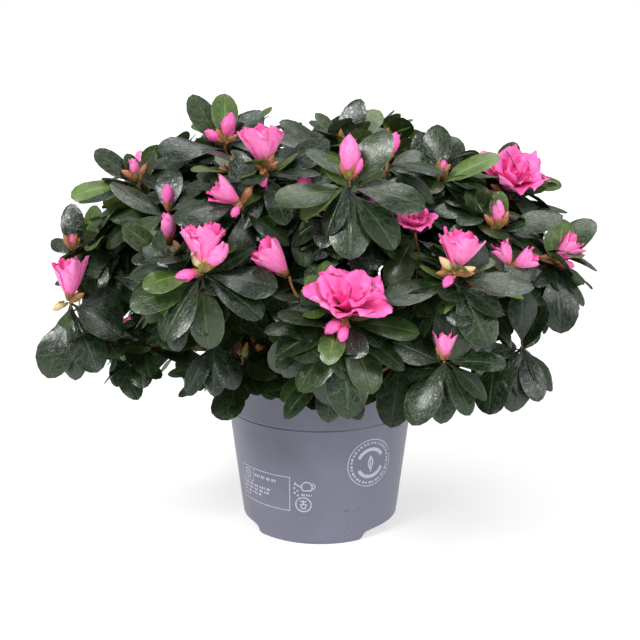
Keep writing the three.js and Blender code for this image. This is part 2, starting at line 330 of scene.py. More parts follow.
class Finish:
    """One procedural material, made around a Principled BSDF."""

    def __init__(self, name, **settings):
        self.material = bpy.data.materials.new(name)
        self.material.use_nodes = True
        self.tree = self.material.node_tree
        self.surface = self.tree.nodes["Principled BSDF"]
        for socket, value in settings.items():
            self.surface.inputs[socket.replace("_", " ").title()].default_value = value

    def node(self, kind, settings=None, values=None):
        made = self.tree.nodes.new(kind)
        for key, value in (settings or {}).items():
            if key == "stops":
                while len(made.color_ramp.elements) < len(value):
                    made.color_ramp.elements.new(0.5)
                for stop, (place, colour) in zip(made.color_ramp.elements, value):
                    stop.position, stop.color = place, colour
            else:
                setattr(made, key, value)
        for key, value in (values or {}).items():
            self.join(value, made.inputs[key])
        return made

    def join(self, value, socket):
        if isinstance(value, Signal):
            value = value.socket
        if isinstance(value, bpy.types.NodeSocket):
            self.tree.links.new(value, socket)
        else:
            socket.default_value = value

    def feed(self, socket, value):
        self.join(value, self.surface.inputs[socket])

    def own_map(self):
        """The leaf's or petal's own map, and the places across it and along it, from 0 to 1."""
        place = self.node("ShaderNodeUVMap", {"uv_map": "leaf"}).outputs[0]
        return place, *self.split(place)[:2]

    def place(self):
        return self.node("ShaderNodeTexCoord").outputs["Object"]

    def split(self, vector):
        parts = self.node("ShaderNodeSeparateXYZ", None, {0: vector})
        return [Signal(self, parts.outputs[i]) for i in range(3)]

    def stretched(self, vector, scale):
        node = self.node("ShaderNodeVectorMath", {"operation": "MULTIPLY"}, {0: vector, 1: scale})
        return node.outputs[0]

    def noise(self, vector, scale, detail=3.0, rough=0.55, distortion=0.0):
        sockets = ("Vector", "Scale", "Detail", "Roughness", "Distortion")
        values = dict(zip(sockets, (vector, scale, detail, rough, distortion)))
        return Signal(self, self.node("ShaderNodeTexNoise", None, values).outputs[0])

    def cells(self, vector, scale, feature):
        """Irregular cells: the distance from their middles (F1) or from their borders."""
        values = {"Vector": vector, "Scale": scale}
        node = self.node("ShaderNodeTexVoronoi", {"feature": feature}, values)
        return Signal(self, node.outputs["Distance"])

    def blend(self, factor, first, second):
        values = {0: factor, 6: colour(first), 7: colour(second)}
        return self.node("ShaderNodeMix", {"data_type": "RGBA"}, values).outputs[2]

    def relief(self, height, distance):
        node = self.node("ShaderNodeBump", None, {"Distance": distance, "Height": height})
        self.feed("Normal", node.outputs[0])


def colour(value):
    """A hex colour such as #2f3d2f as linear RGBA, or a socket as it is."""
    if not isinstance(value, str):
        return value
    parts = [int(value[i : i + 2], 16) / 255 for i in (1, 3, 5)]
    linear = [c / 12.92 if c <= 0.04045 else ((c + 0.055) / 1.055) ** 2.4 for c in parts]
    return (*linear, 1.0)


def leaf_finish(name, first, second, vein, edge, gloss, quilt):
    finish = Finish(name, roughness=gloss, coat_weight=0.35, coat_roughness=0.22)
    place, across, along = finish.own_map()
    from_midrib = abs(across * 2 - 1)
    blade_place = finish.stretched(place, (1.0, 1.9, 1.0))
    mottle = finish.noise(blade_place, 3.2, 2.0, 0.4)
    branching = (along * 6.5 - from_midrib * 1.9 + mottle * 0.8).pingpong(0.5)
    side_vein = branching.between(0.09, 0.0) * from_midrib.between(1.0, 0.6)
    midrib = from_midrib.between(0.1, 0.02)
    quilted = finish.cells(blade_place, 5.5, "DISTANCE_TO_EDGE").between(0.0, 0.12)
    tone = finish.blend(mottle.between(0.3, 0.72), first, second)
    tone = finish.blend(side_vein * 0.12 + (1 - quilted) * 0.06, tone, vein)
    tone = finish.blend(midrib * 0.55, tone, vein)
    tone = finish.blend(from_midrib.between(0.95, 1.0) * 0.45, tone, edge)
    finish.feed("Base Color", tone)
    patches = finish.noise(blade_place, 5.0, 2.0).between(0.35, 0.65)
    finish.feed("Roughness", gloss + patches * 0.12 + (1 - quilted) * 0.22)
    height = mottle * 1.3 + quilted * 0.11 - side_vein * 0.06 - midrib * 0.3
    finish.relief(height, quilt)
    return finish.material


def underside_finish(name, first, second, vein):
    finish = Finish(name, roughness=0.6)
    place, across, along = finish.own_map()
    from_midrib = abs(across * 2 - 1)
    side_vein = (along * 8.5 - from_midrib * 2.1).pingpong(0.5).between(0.12, 0.0)
    midrib = from_midrib.between(0.1, 0.02)
    mottle = finish.noise(place, 7.0)
    tone = finish.blend(mottle.between(0.3, 0.7), first, second)
    tone = finish.blend((side_vein * 0.5 + midrib).clip(), tone, vein)
    finish.feed("Base Color", tone)
    finish.relief(side_vein * 0.6 + midrib, 0.3 * MM)
    return finish.material


def petal_finish(name, first, second, throat, pale):
    finish = Finish(name, roughness=0.5)
    place, across, along = finish.own_map()
    lines = finish.noise(finish.stretched(place, (14.0, 1.2, 1.0)), 2.2, 3.0)
    mottle = finish.noise(place, 4.0)
    tone = finish.blend(mottle.between(0.35, 0.7), first, second)
    tone = finish.blend(along.between(0.55, 0.2) * 0.75, tone, throat)
    tone = finish.blend(along.between(0.16, 0.0) * lines.between(0.35, 0.7), tone, pale)
    tone = finish.blend(lines.between(0.5, 0.72) * 0.22, tone, pale)
    finish.feed("Base Color", tone)
    finish.feed("Roughness", 0.42 + mottle * 0.16)
    finish.relief(lines + mottle * 0.6, 0.35 * MM)
    return finish.material


def scale_finish(name, first, tip, second):
    """Bracts, calyxes and cream buds, which change colour from foot to tip."""
    finish = Finish(name, roughness=0.5)
    place, across, along = finish.own_map()
    lines = finish.noise(finish.stretched(place, (9.0, 1.5, 1.0)), 2.5, 3.0)
    tone = finish.blend(along.between(0.35, 0.95), first, tip)
    tone = finish.blend(lines.between(0.4, 0.7) * 0.6, tone, second)
    finish.feed("Base Color", tone)
    finish.relief(lines, 0.2 * MM)
    return finish.material


def bark_finish(name, light, dark, grain, roughness, depth):
    finish = Finish(name, roughness=roughness)
    place = finish.place()
    streak = finish.noise(finish.stretched(place, (1.0, 1.0, 0.35)), grain, 5.0, 0.6)
    patch = finish.noise(place, grain / 5, 3.0)
    tone = finish.blend(streak.between(0.35, 0.65), dark, light)
    tone = finish.blend(patch.between(0.5, 0.75) * 0.5, tone, dark)
    finish.feed("Base Color", tone)
    finish.relief(streak, depth)
    return finish.material


# The colours and measures of each finish, in the order in which its maker takes them.
TINTS = {
    leaf_finish: {
        "leaf_dark": ("#13230e", "#203418", "#445a33", "#67774a", 0.25, 0.8 * MM),
        "leaf_deep": ("#0e1c0f", "#182b18", "#3b5034", "#5a6c48", 0.23, 0.8 * MM),
        "leaf_green": ("#1f310f", "#2c4216", "#566b30", "#7d8c4a", 0.28, 0.7 * MM),
        "leaf_young": ("#38501a", "#4a6420", "#7c8e42", "#93a152", 0.34, 0.6 * MM),
        "leaf_pale": ("#4e6a2e", "#667f3e", "#93a765", "#a0b074", 0.42, 0.6 * MM),
    },
    underside_finish: {
        "leaf_under": ("#465a34", "#566b41", "#788b5c"),
        "leaf_under_young": ("#6f8d42", "#809c50", "#a0b573"),
    },
    petal_finish: {
        "petal_pink": ("#ff5db4", "#ff7cc4", "#ff4a9c", "#ffbcdc"),
        "petal_light": ("#ff74c0", "#ff95d0", "#ff6cb4", "#ffd6e6"),
        "petal_deep": ("#ff4aa4", "#ff66b4", "#ff2e7e", "#ffa4cf"),
    },
    scale_finish: {
        "bract_brown": ("#8a6236", "#c08058", "#7a4324"),
        "calyx_green": ("#6d8a35", "#b0653f", "#88a04a"),
        "bud_cream": ("#d8cf8e", "#e9b9a0", "#c3bd72"),
    },
    bark_finish: {
        "bark": ("#7c5a3d", "#3f2b1e", 420.0, 0.85, 0.6 * MM),
        "twig": ("#9c6a3c", "#6e4022", 700.0, 0.6, 0.2 * MM),
    },
}
MATERIALS = {
    name: make(name, *tints) for make, kinds in TINTS.items() for name, tints in kinds.items()
}

# ---------------------------------------------------------------- blades, petals, buds and limbs

# Each outline has its rows' places from foot to tip, and its width at each row as a share of the
# greatest. Rows stand closer where the outline turns.
LEAF = Slab(9, 5)
LEAF_ALONG = np.array([0, 0.09, 0.18, 0.31, 0.46, 0.61, 0.76, 0.89, 0.965])
LEAF_WIDTH = np.array([0.08, 0.09, 0.28, 0.62, 0.9, 1.0, 0.93, 0.68, 0.4])
SCALE = Slab(4, 3)
SCALE_ALONG = np.array([0.0, 0.3, 0.62, 0.88])
SCALE_WIDTH = np.array([0.7, 1.0, 0.85, 0.4])
PETAL = Slab(8, 15, margin=True)
PETAL_ALONG = np.array([0.0, 0.2, 0.38, 0.55, 0.7, 0.83, 0.93, 1.0])
PETAL_WIDTH = np.array([0.3, 0.52, 0.74, 0.92, 1.03, 1.03, 0.9, 0.6])
BUD = Ball(7, 10)
BUD_ALONG = np.array([0.03, 0.14, 0.32, 0.52, 0.72, 0.88, 0.97])

# The steps along which a curling blade's line is worked out, before its rows are laid on it.
FINE = np.linspace(0, 1, 25)

LEAF_SIZES = {"X": 45 * MM, "L": 39 * MM, "M": 31 * MM, "S": 21 * MM}
LEAF_RATIO = 0.51
LOWEST_LEAF = 94 * MM
SPARE_HEIGHT = 5 * MM
LIFT_TRIES = 5
BLADE_THICK = 0.4 * MM
PETAL_THICK = 0.3 * MM
CURL_EASE = 1.3
LOBES = 5
TUBE_RADIUS = 1.2 * MM
WIDEST_WRAP = 62
SCALE_RATIO = 0.6
LIMB_END = 0.1 * MM
TWIG_RINGS, TWIG_RADII = 8, (1.15 * MM, 0.8 * MM)

SEED = 31
rng = np.random.default_rng(SEED)


def between(low, high):
    return low + (high - low) * rng.random()


def arc_places(angles, length, rows):
    """Forward and sideways distances along an arc whose direction turns by angles."""
    middle = (angles[1:] + angles[:-1]) / 2
    step = length / (len(FINE) - 1)
    forward = np.concatenate([[0], np.cumsum(np.cos(middle)) * step])
    sideways = np.concatenate([[0], np.cumsum(np.sin(middle)) * step])
    return np.interp(rows, FINE, forward), np.interp(rows, FINE, sideways)


def blade(form, foot, along, face, length, width, curl, fold, cup, twist=0.0, wave=0.0):
    """The points of a leaf, scale or other flat blade. Its upper side looks along face, and it
    curls away from that side by an angle."""
    shape, rows, widths = form
    angles = curl * FINE**CURL_EASE
    reach, drop = arc_places(angles, length, rows)
    tilt = np.interp(rows, FINE, angles)[:, None]
    side = np.cross(along, face)
    line = foot + reach[:, None] * along - drop[:, None] * face
    lift = np.cos(tilt) * face + np.sin(tilt) * along
    turn = (twist * rows)[:, None]
    outward = side * np.cos(turn) + lift * np.sin(turn)
    normal = lift * np.cos(turn) - side * np.sin(turn)
    half = (widths * width / 2)[:, None]
    across = shape.across[None, :]
    rise = half * (fold * np.abs(across) - cup * across**2)
    phase = 2 * math.pi * rng.random()
    rise = rise + wave * np.sin(7 * rows[:, None] + phase + 1.6 * across) * across**2 * half
    over = line[:, None] + (half * across)[..., None] * outward[:, None]
    over = over + rise[..., None] * normal[:, None]
    under = over - (BLADE_THICK * (1 - across**2))[..., None] * normal[:, None]
    tip = line[-1] + (line[-1] - line[-2]) * 0.55
    return shape.points(over, under, line[0] - along * 0.3 * MM, tip)


LEAF_FORM = (LEAF, LEAF_ALONG, LEAF_WIDTH)
SCALE_FORM = (SCALE, SCALE_ALONG, SCALE_WIDTH)
LEAF_PATTERN = LEAF.pattern(LEAF_ALONG)
SCALE_PATTERN = SCALE.pattern(SCALE_ALONG)
PETAL_PATTERN = PETAL.pattern(PETAL_ALONG)
BUD_PATTERN = BUD.pattern(BUD_ALONG)

UNDERSIDES = {"leaf_young": "leaf_under_young", "leaf_pale": "leaf_under_young"}

# How far a leaf's width, fold, cup, twist and waviness may be from the next one's.
LEAF_VARIETY = ((0.94, 1.1), (0.12, 0.34), (0.2, 0.34), (-0.4, 0.4), (0.04, 0.12))

pot_middle, pot_half = middle_and_half("pot")
POT_TOP = pot_middle[2] + pot_half[2]
RIM_RADIUS = pot_half[0]
RIM_GAP = 1.5 * MM


def low_places(points):
    """How far from the pot's axis each point stands that is below the rim."""
    return np.hypot(points[:, 0], points[:, 1])[points[:, 2] < POT_TOP + RIM_GAP]


def leaf(foot, along, face, length, finish, curl=None, keep=False):
    """Adds one leaf, unless it would stand in the pot. A kept leaf is moved out over the rim."""
    bow = between(0.3, 0.85) if curl is None else curl
    share, *form = (between(*limits) for limits in LEAF_VARIETY)
    width = length * LEAF_RATIO * share
    for _ in range(LIFT_TRIES):
        points = blade(LEAF_FORM, foot, along, square_to(face, along), length, width, bow, *form)
        if points[:, 2].min() > LOWEST_LEAF + (0 if keep else SPARE_HEIGHT):
            break
        along, bow = unit(along + UP * 0.3), bow * 0.7
    else:
        if not keep:
            return
    places = low_places(points)
    if (places < RIM_RADIUS + RIM_GAP).any():
        if not keep:
            return
        short = RIM_RADIUS + RIM_GAP + 0.5 * MM - places.min()
        points = points + unit(points.mean(axis=0) * (1, 1, 0)) * short
    piece = leaf_pieces[quarter_of(points.mean(axis=0))]
    piece.add(LEAF, points, LEAF_PATTERN, finish, UNDERSIDES.get(finish, "leaf_under"))


QUARTERS = ("front", "right", "back", "left")
LEAF_FINISHES = [*TINTS[leaf_finish], *TINTS[underside_finish]]
leaf_pieces = [Piece("leaves_" + quarter, "foliage", LEAF_FINISHES) for quarter in QUARTERS]
petal_pieces = [
    Piece("blooms_" + side, "blossom", list(TINTS[petal_finish])) for side in ("front", "back")
]
scale_piece = Piece("bracts", "foliage", list(TINTS[scale_finish]))
twig_piece = Piece("twigs", "bark", ["twig"])
bough_piece = Piece("boughs", "bark", ["bark"])
stem_piece = Piece("stem_bark", "bark", ["bark"])


def quarter_of(place):
    """0 to 3 for the front, right, back or left quarter that a place stands in."""
    azimuth = math.degrees(math.atan2(place[0], -place[1]))
    return int(((azimuth + 45) % 360) // 90)


def petals_at(place):
    return petal_pieces[int(place[1] > 0)]


def petal(throat, axis, turn, length, width, opening, ruffle, finishes):
    """One petal of a corolla. opening holds its angles from the axis at its foot and its tip. One
    side of it lies over its neighbour, and its margin is waved and finely frilled."""
    start, end = (math.radians(angle) for angle in opening)
    angles = start + (end - start) * FINE * FINE * (3 - 2 * FINE)
    rise, spread = arc_places(angles, length, PETAL_ALONG)
    tilt = np.interp(PETAL_ALONG, FINE, angles)[:, None, None]
    radius = (TUBE_RADIUS + spread)[:, None]
    across = PETAL.across[None, :]
    phase = 2 * math.pi * rng.random(3)
    edge = PETAL_ALONG[:, None]
    half = (PETAL_WIDTH * width / 2)[:, None]
    angle = turn + np.minimum(half / radius, math.radians(WIDEST_WRAP)) * across
    first = square_to(np.array([0.31, 0.52, 0.79]), axis)
    second = np.cross(axis, first)
    out = np.cos(angle)[..., None] * first + np.sin(angle)[..., None] * second
    wave = 0.55 * edge**1.5 * np.sin(2.9 * across + phase[0])
    wave = wave + 0.5 * edge**3 * np.sin(5.7 * across + phase[1] + 2 * edge)
    wave = wave + 0.26 * edge**6 * np.sin(10.5 * across + phase[2])
    lift = ruffle * wave * (1 - 0.45 * across**2) + 0.035 * length * across * edge
    ragged = 0.03 * (rng.random((1, PETAL.columns)) - 0.5)
    notch = edge**5 * (0.02 * np.sin(13 * across + phase[1]) + ragged)
    back = 1 - 0.2 * across**2 * edge**2 + notch
    normal = np.cos(tilt) * out - np.sin(tilt) * axis
    over = throat + (rise[:, None] * back)[..., None] * axis
    over = over + (radius * back)[..., None] * out + lift[..., None] * normal
    under = over - (PETAL_THICK * (1 - across**2))[..., None] * normal
    foot = over[0, PETAL.columns // 2] - axis * PETAL_THICK
    points = PETAL.points(over, under, foot)
    petals_at(throat).add(PETAL, points, PETAL_PATTERN, *finishes)


def whorl(stand, count, length, width, opening, ruffle, finishes, shift):
    """A ring of petals; its lengths are shares of the flower's size."""
    for i in range(count):
        turn = stand.turn + shift + 2 * math.pi * (i + between(-0.14, 0.14)) / count
        leaning = [angle * between(0.82, 1.15) for angle in opening]
        reach = length * stand.size * between(0.9, 1.08)
        frill = ruffle * stand.size
        petal(stand.foot, stand.axis, turn, reach, width * stand.size, leaning, frill, finishes)


def bud(stand, width, finish, fullness):
    """A closed bud: a long egg with shallow twisted furrows between its rolled petals."""
    foot, axis, length, _ = stand
    first = square_to(np.array([0.37, 0.21, 0.9]), axis)
    second = np.cross(axis, first)
    ring = np.sin(math.pi * BUD_ALONG**fullness) ** 0.75
    ring[0] = max(ring[0], 0.3)
    turns = BUD.turns[None, :] + 1.4 * BUD_ALONG[:, None]
    furrow = 1 + 0.09 * np.cos(LOBES * BUD.turns[None, :] + 0.5)
    radius = (ring * width * length / 2)[:, None] * furrow
    out = np.cos(turns)[..., None] * first + np.sin(turns)[..., None] * second
    rings = foot + (BUD_ALONG * length)[:, None, None] * axis + radius[..., None] * out
    points = BUD.points(rings, foot, foot + axis * length)
    piece = petals_at(foot) if finish in TINTS[petal_finish] else scale_piece
    piece.add(BUD, points, BUD_PATTERN, finish)


def bracts(stand, count, length, spread, finish="bract_brown", girth=1.6 * MM):
    """A ring of scales wrapped round the foot of a bud or flower."""
    foot, axis, whole, _ = stand
    for i in range(count):
        out = turned(axis, GOLDEN * i + between(-0.2, 0.2))
        lean = math.radians(spread * between(0.7, 1.3))
        along = unit(axis * math.cos(lean) + out * math.sin(lean))
        size = length * whole * between(0.8, 1.15)
        start = foot + out * girth - axis * (i / count) * 2 * MM
        face = square_to(-out, along)
        curl = -between(0.0, 0.5)
        points = blade(SCALE_FORM, start, along, face, size, size * SCALE_RATIO, curl, 0.5, 0.1)
        scale_piece.add(SCALE, points, SCALE_PATTERN, finish)


PINK, LIGHT, DEEP = "petal_pink", "petal_light", "petal_deep"
BROWN, GREEN, CREAM = "bract_brown", "calyx_green", "bud_cream"

# Where a flower stands: its foot, its axis, its size and the turn of its first whorl.
Stand = namedtuple("Stand", "foot axis size turn")

# What each kind of flower or bud is made of, in the order in which it is put together, with
# lengths as shares of its size. A whorl has its number of petals, their length and width, their
# angles from the axis at foot and tip, the depth of their frills, the finishes of their two sides
# and how far it is turned. Bracts have their number, length and spread, a bud its width and
# fullness.
BLOOMS = {
    "open": [
        (bracts, 5, 0.16, 30),
        (whorl, 5, 0.55, 0.715, (36, 72), 0.07, (LIGHT, PINK), 0.0),
        (whorl, 4, 0.506, 0.6325, (26, 46), 0.08, (PINK, PINK), 0.6),
        (whorl, 3, 0.44, 0.4675, (12, 26), 0.08, (PINK, PINK), 0.2),
        (whorl, 2, 0.33, 0.275, (6, 14), 0.06, (DEEP, DEEP), 0.9),
    ],
    "trumpet": [
        (bracts, 5, 0.24, 26),
        (bracts, 3, 0.18, 30, GREEN),
        (whorl, 5, 0.84, 0.8, (36, 27), 0.07, (LIGHT, PINK), 0.0),
        (whorl, 4, 0.84, 0.74, (28, 17), 0.08, (PINK, PINK), 0.6),
        (whorl, 3, 0.8, 0.6, (14, 8), 0.08, (PINK, DEEP), 0.3),
    ],
    "half": [
        (bracts, 5, 0.26, 24),
        (whorl, 5, 0.9, 0.6, (30, 12), 0.05, (LIGHT, PINK), 0.0),
        (whorl, 3, 0.9, 0.5, (17, 6), 0.06, (PINK, DEEP), 0.6),
    ],
    "bud": [
        (bracts, 6, 0.36, 20),
        (bud, 0.52, PINK, 1.15),
        (whorl, 3, 0.92, 0.5, (8, 3), 0.02, (LIGHT, PINK), 0.0),
    ],
    "pale": [
        (bracts, 7, 0.4, 20),
        (bracts, 3, 0.28, 28, GREEN, 2.2 * MM),
        (bud, 0.5, LIGHT, 1.1),
        (whorl, 3, 0.95, 0.45, (9, 2), 0.02, (LIGHT, LIGHT), 0.0),
    ],
    "cream": [(bracts, 3, 0.4, 22, GREEN), (bud, 0.48, CREAM, 0.8)],
    "brown": [(bud, 0.5, BROWN, 0.75), (bracts, 4, 0.75, 14, BROWN, 1.2 * MM)],
    "green": [(bud, 0.42, GREEN, 0.75), (bracts, 3, 0.8, 14, GREEN, 1.0 * MM)],
}


def bloom(kind, foot, axis, size):
    """One flower or bud standing at a shoot's tip, as long or as wide as size."""
    stand = Stand(foot, axis, size, 2 * math.pi * rng.random())
    for make, *measures in BLOOMS[kind]:
        make(stand, *measures)


def bend(start, elbow, end, count):
    """Points along a limb that leaves start towards elbow and arrives at end."""
    t = np.linspace(0, 1, count)[:, None]
    return (1 - t) ** 2 * start + 2 * t * (1 - t) * elbow + t**2 * end


limb_shapes = {}


def limb(piece, line, radii, sides, finish, relief):
    """A closed round limb along a line of points, with knots and swellings of a share."""
    count = len(line)
    shape = limb_shapes.setdefault((count, sides), Ball(count, sides))
    ahead = np.gradient(line, axis=0)
    ahead /= np.linalg.norm(ahead, axis=1)[:, None]
    first = turned(ahead[0], 0.0)
    phase = 2 * math.pi * rng.random(3)
    turns, rings = shape.turns, []
    for i in range(count):
        first = square_to(first, ahead[i])
        second = np.cross(ahead[i], first)
        out = np.cos(turns)[:, None] * first + np.sin(turns)[:, None] * second
        knot = np.sin(3 * turns + phase[0] + 0.7 * i) + np.sin(7 * turns + phase[1] - 1.9 * i)
        swell = 1 + relief * (knot * 0.6 + math.sin(2.3 * i + phase[2]))
        rings.append(line[i] + (radii[i] * swell)[:, None] * out)
    ends = line[0] - ahead[0] * LIMB_END, line[-1] + ahead[-1] * LIMB_END
    piece.add(shape, shape.points(np.array(rings), *ends), shape.pattern(np.linspace(0, 1, count)), finish)


# ---------------------------------------------------------------- stem and boughs

STEM_LEAN = 3 * MM
STEM_LEAN_TOWARDS = -60
STEM_FLARE, FLARE_HEIGHT = 11 * MM, 9 * MM
STEM_FOOT, STEM_TOP = 6.2 * MM, 5.2 * MM
STEM_RINGS, STEM_SIDES = 44, 40
BOUGH_RADII = (2.6 * MM, 1.5 * MM)
SPUR_RADII = (1.7 * MM, 1.3 * MM)
BOUGH_RINGS, SPUR_RINGS = 16, 10

stem_middle, stem_half = middle_and_half("stem")
stem_foot = np.array([0.0, 0.0, stem_middle[2] - stem_half[2]])
stem_head = compass(STEM_LEAN_TOWARDS) * STEM_LEAN
stem_head[2] = stem_middle[2] + stem_half[2]

MASSES = {n: middle_and_half(n) for n in sorted(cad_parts) if n.startswith("foliage_")}

# Each bough's mass, and how far up the stem it leaves.
BOUGHS = {
    "bough_front": ("front", 0.42),
    "bough_right": ("right", 0.42),
    "bough_back": ("back", 0.42),
    "bough_left": ("left", 0.42),
    "bough_low_left": ("low_left", 0.66),
    "bough_low_front_right": ("low_front_right", 0.66),
    "bough_back_right": ("back_right", 0.66),
    "bough_back_left": ("back_left", 0.88),
    "bough_front_left": ("front_left", 0.88),
    "bough_upper_right": ("upper_right", 0.88),
    "bough_upper_back": ("upper_back", 0.88),
    "bough_leader": ("top_middle", 1.0),
}
HIGHEST_BOUGH = 0.97
CROWN_CORE = np.array([0.0, 0.0, 0.12])


def grow_stem():
    along = np.linspace(0, 1, STEM_RINGS)
    line = stem_foot + along[:, None] * (stem_head - stem_foot)
    height = along * (stem_head - stem_foot)[2]
    flare = np.clip(1 - height / FLARE_HEIGHT, 0, 1) ** 2
    radii = STEM_FOOT + (STEM_TOP - STEM_FOOT) * along + (STEM_FLARE - STEM_FOOT) * flare
    radii[-2:] *= (0.9, 0.6)
    limb(stem_piece, line, radii, STEM_SIDES, "bark", 0.035)


def grow_boughs():
    """The boughs as their CAD nodes run, each going on into its mass, and a spur from the nearest
    bough to each other mass. Returns where each mass's limb ends."""
    ends, lines = {}, []
    for target, leaves_at in BOUGHS.values():
        start = stem_foot + min(leaves_at, HIGHEST_BOUGH) * (stem_head - stem_foot)
        end = MASSES["foliage_" + target][0]
        outward, upward = (0.2, 0.6) if target == "top_middle" else (0.55, 0.28)
        elbow = start + (end - start) * (1, 1, 0) * outward + UP * (end - start)[2] * upward
        line = bend(start, elbow, end, BOUGH_RINGS)
        limb(bough_piece, line, np.linspace(*BOUGH_RADII, BOUGH_RINGS), 10, "bark", 0.05)
        ends["foliage_" + target] = line[-1]
        lines.append(line)
    joints = np.concatenate([line[5:13] for line in lines])
    for name, (middle, half) in MASSES.items():
        if name in ends:
            continue
        end = middle - unit(middle - CROWN_CORE) * half.min() * 0.3
        above = np.maximum(0, joints[:, 2] - end[2] + 0.03)
        start = joints[np.argmin(np.linalg.norm(joints - end, axis=1) + 0.6 * above)]
        elbow = (start + end) / 2 + (end - start) * (0.1, 0.1, -0.18)
        line = bend(start, elbow, end, SPUR_RINGS)
        limb(bough_piece, line, np.linspace(*SPUR_RADII, SPUR_RINGS), 8, "bark", 0.05)
        ends[name] = line[-1]
    return ends


# ---------------------------------------------------------------- shoots

VIEWER = np.array([0.0, -math.cos(math.radians(15)), math.sin(math.radians(15))])
RIGHT = np.array([1.0, 0.0, 0.0])
VIEW_UP = np.cross(RIGHT, -VIEWER)

# The shoots of the plant's front. Each row has its mass, where its tip stands in that mass as
# shares of the mass's half size, its leaves and what it carries. A leaf is the hour on a clock face
# that it points to, its size and a tint: y young, p pale, b for one that leans back.
FRONT_SHOOTS = [
    ("top_left", (-0.1, -0.6, 0.32), "11L 12S 12My 1L 9L 9Lb 3M 7M 5M",
     "bud@12.5:17 bud@10:12 bud@1:10 brown@11:8 brown@2:8"),
    ("upper_front_left", (0.35, -0.4, 0.35), "9M 2L 3M 2Sy 7M 5M 10S",
     "trumpet@12:28 bud@6:10 brown@10:9 brown@1:10 brown@2:8"),
    ("upper_front_left", (0, -0.8, -0.1), "12M 11S 4M 9L 8M 1Sy 6M", "half@10:20 brown@1:10 bud@7:9"),
    ("front_left", (0.2, -0.6, 0.2), "3L 4L 6L 7L 9My 8.5L 10M 2M",
     "trumpet@12:29 pale@1.5:19 bud@8.5:14 cream@12:10 cream@1:10 cream@11:10 brown@1:8"),
    ("front_left", (-0.25, 0.2, 0.4), "9S 10M 3M 7M 5M", "pale@12:17"),
    ("upper_left", (0.6, -1.25, 0.2), "10L 8M 2M 12M 4M", "bud@12:14"),
    ("upper_left", (0, -0.3, 0.55), "10.3M 9Lp 8.5L 1S 2L 3L 11.5S 6M 5M",
     "pale@11.5:12 brown@10:10 brown@1:10"),
    ("left", (-0.6, -0.2, 0.05), "11.7M 1My 2.5L 3.5M 10.3S 5M 4M 7S",
     "brown@11:10 brown@12.5:10 bud@12:9 brown@1:8"),
    ("low_left", (-0.45, -0.35, 0.6), "6L 6.6L 5L 7M 4L 2M 6.5M", "half@12:28 cream@8:9 brown@2:9"),
    ("low_left", (0.35, 0.05, -0.1), "4M 5M 3S 6S", ""),
    ("low_front_left", (0, 0.25, -0.1), "6.1L 3.4M 8M 9M", ""),
    ("top_middle", (0.05, -0.2, 0.2), "12Sy 12.5M 10L 9.5L 1.5Ly 2Lb 9L 4M 7M 5M 8My", "green@12:9"),
    ("upper_front", (0, -0.65, 0.7), "3L 4.5L 6L 1L 9L 8My 10.5M 7M 11Sy",
     "pale@12:23 bud@1:12 brown@11:9"),
    ("upper_front", (0.6, 0.3, 0.85), "3M 4M 11S 2S", "bud@12.5:15"),
    ("top_right", (-0.05, -0.45, 0.25), "11.3M 11.9M 2Lp 9M 4M 7M 8L", "bud@12.7:8 brown@1.5:8 green@12:8"),
    ("upper_right", (-0.1, -0.35, 0.1), "3L 4M 9M 6M 5M 8M", "open@0.6:50 brown@10:9"),
    ("upper_front_right", (0.2, -0.4, 0.05), "10L 11L 2.3L 4.3M 4.8M 12Sy 8M 9M 6M",
     "pale@12:15 brown@10.5:10 brown@1:10"),
    ("right", (0.1, -0.4, 0.15), "12.5My 1.2L 12Sy 5.7L 7L 8.5L 4S 10M",
     "half@1.5:20 bud@3.5:11 brown@9.5:9"),
    ("front_right", (-0.05, -0.5, 0.35), "9M 8.5L 7.3L 6L 5L 3L 4M 10Sy",
     "trumpet@12.3:27 cream@10.5:11 bud@7.5:10 cream@2.5:10 brown@9:9 brown@3:9"),
    ("front_right", (-0.6, 0.3, 0.95), "7M 9M 4L", "open@12:26"),
    ("front", (0.2, -0.35, 0.05), "9.5L 7.2X 6X 5L 4L 3L 10.3M 8.2L",
     "open@12.2:50 bud@8:13 bud@6.4:12 brown@7:8"),
    ("low_front", (0.2, -0.35, 0.3), "7.6L 6.1M 4.8M 3.6M", ""),
    ("low_front", (1.2, -0.1, 0.5), "6.3L 5.3M 3.6M", ""),
    ("low_front_right", (0.2, -1.05, 0.3), "9M 10M 3M 6M 5M 7.3L 4M 5.5S 2S", "half@12:17 brown@11:8"),
    ("low_right", (0.2, -0.4, 0.15), "7.3L 6.3L 5.5M 4.6M 12M 1M 9M", ""),
    ("low_right", (-0.35, -0.55, 0), "6.3L 5M", ""),
    ("upper_front", (-0.65, 0, 0.2), "9M 3M 8M 4M 6M", "bud@12:17"),
    ("front", (-0.5, 0.35, 0.55), "8S 3S", "half@10.5:24"),
    ("upper_front", (0.35, 0, 0.05), "", "half@12:18"),
    ("upper_front_right", (0.4, -0.7, -0.55), "", "half@11:17 half@2:16"),
    ("front_left", (0.3, 0.1, -0.95), "6M 5M 7M 9M", ""),
    ("left", (0.2, -0.75, -0.3), "9M 3M 12M 6M", ""),
    ("top_left", (-0.55, 0.05, 0.1), "8.5L 9L 7L", ""),
]
SPARE = 6 * MM
FLOWERS_BELOW = 214 * MM
YOUNG_LEAVES_ABOVE = 165 * MM
INNER_SHOOTS_ABOVE = 118 * MM
DARK_LEAVES = ["leaf_dark", "leaf_deep", "leaf_dark", "leaf_deep", "leaf_green"]
SMALL_BUDS = ("brown", "brown", "cream", "green")
PLANT_PIECES = [*leaf_pieces, *petal_pieces, scale_piece]

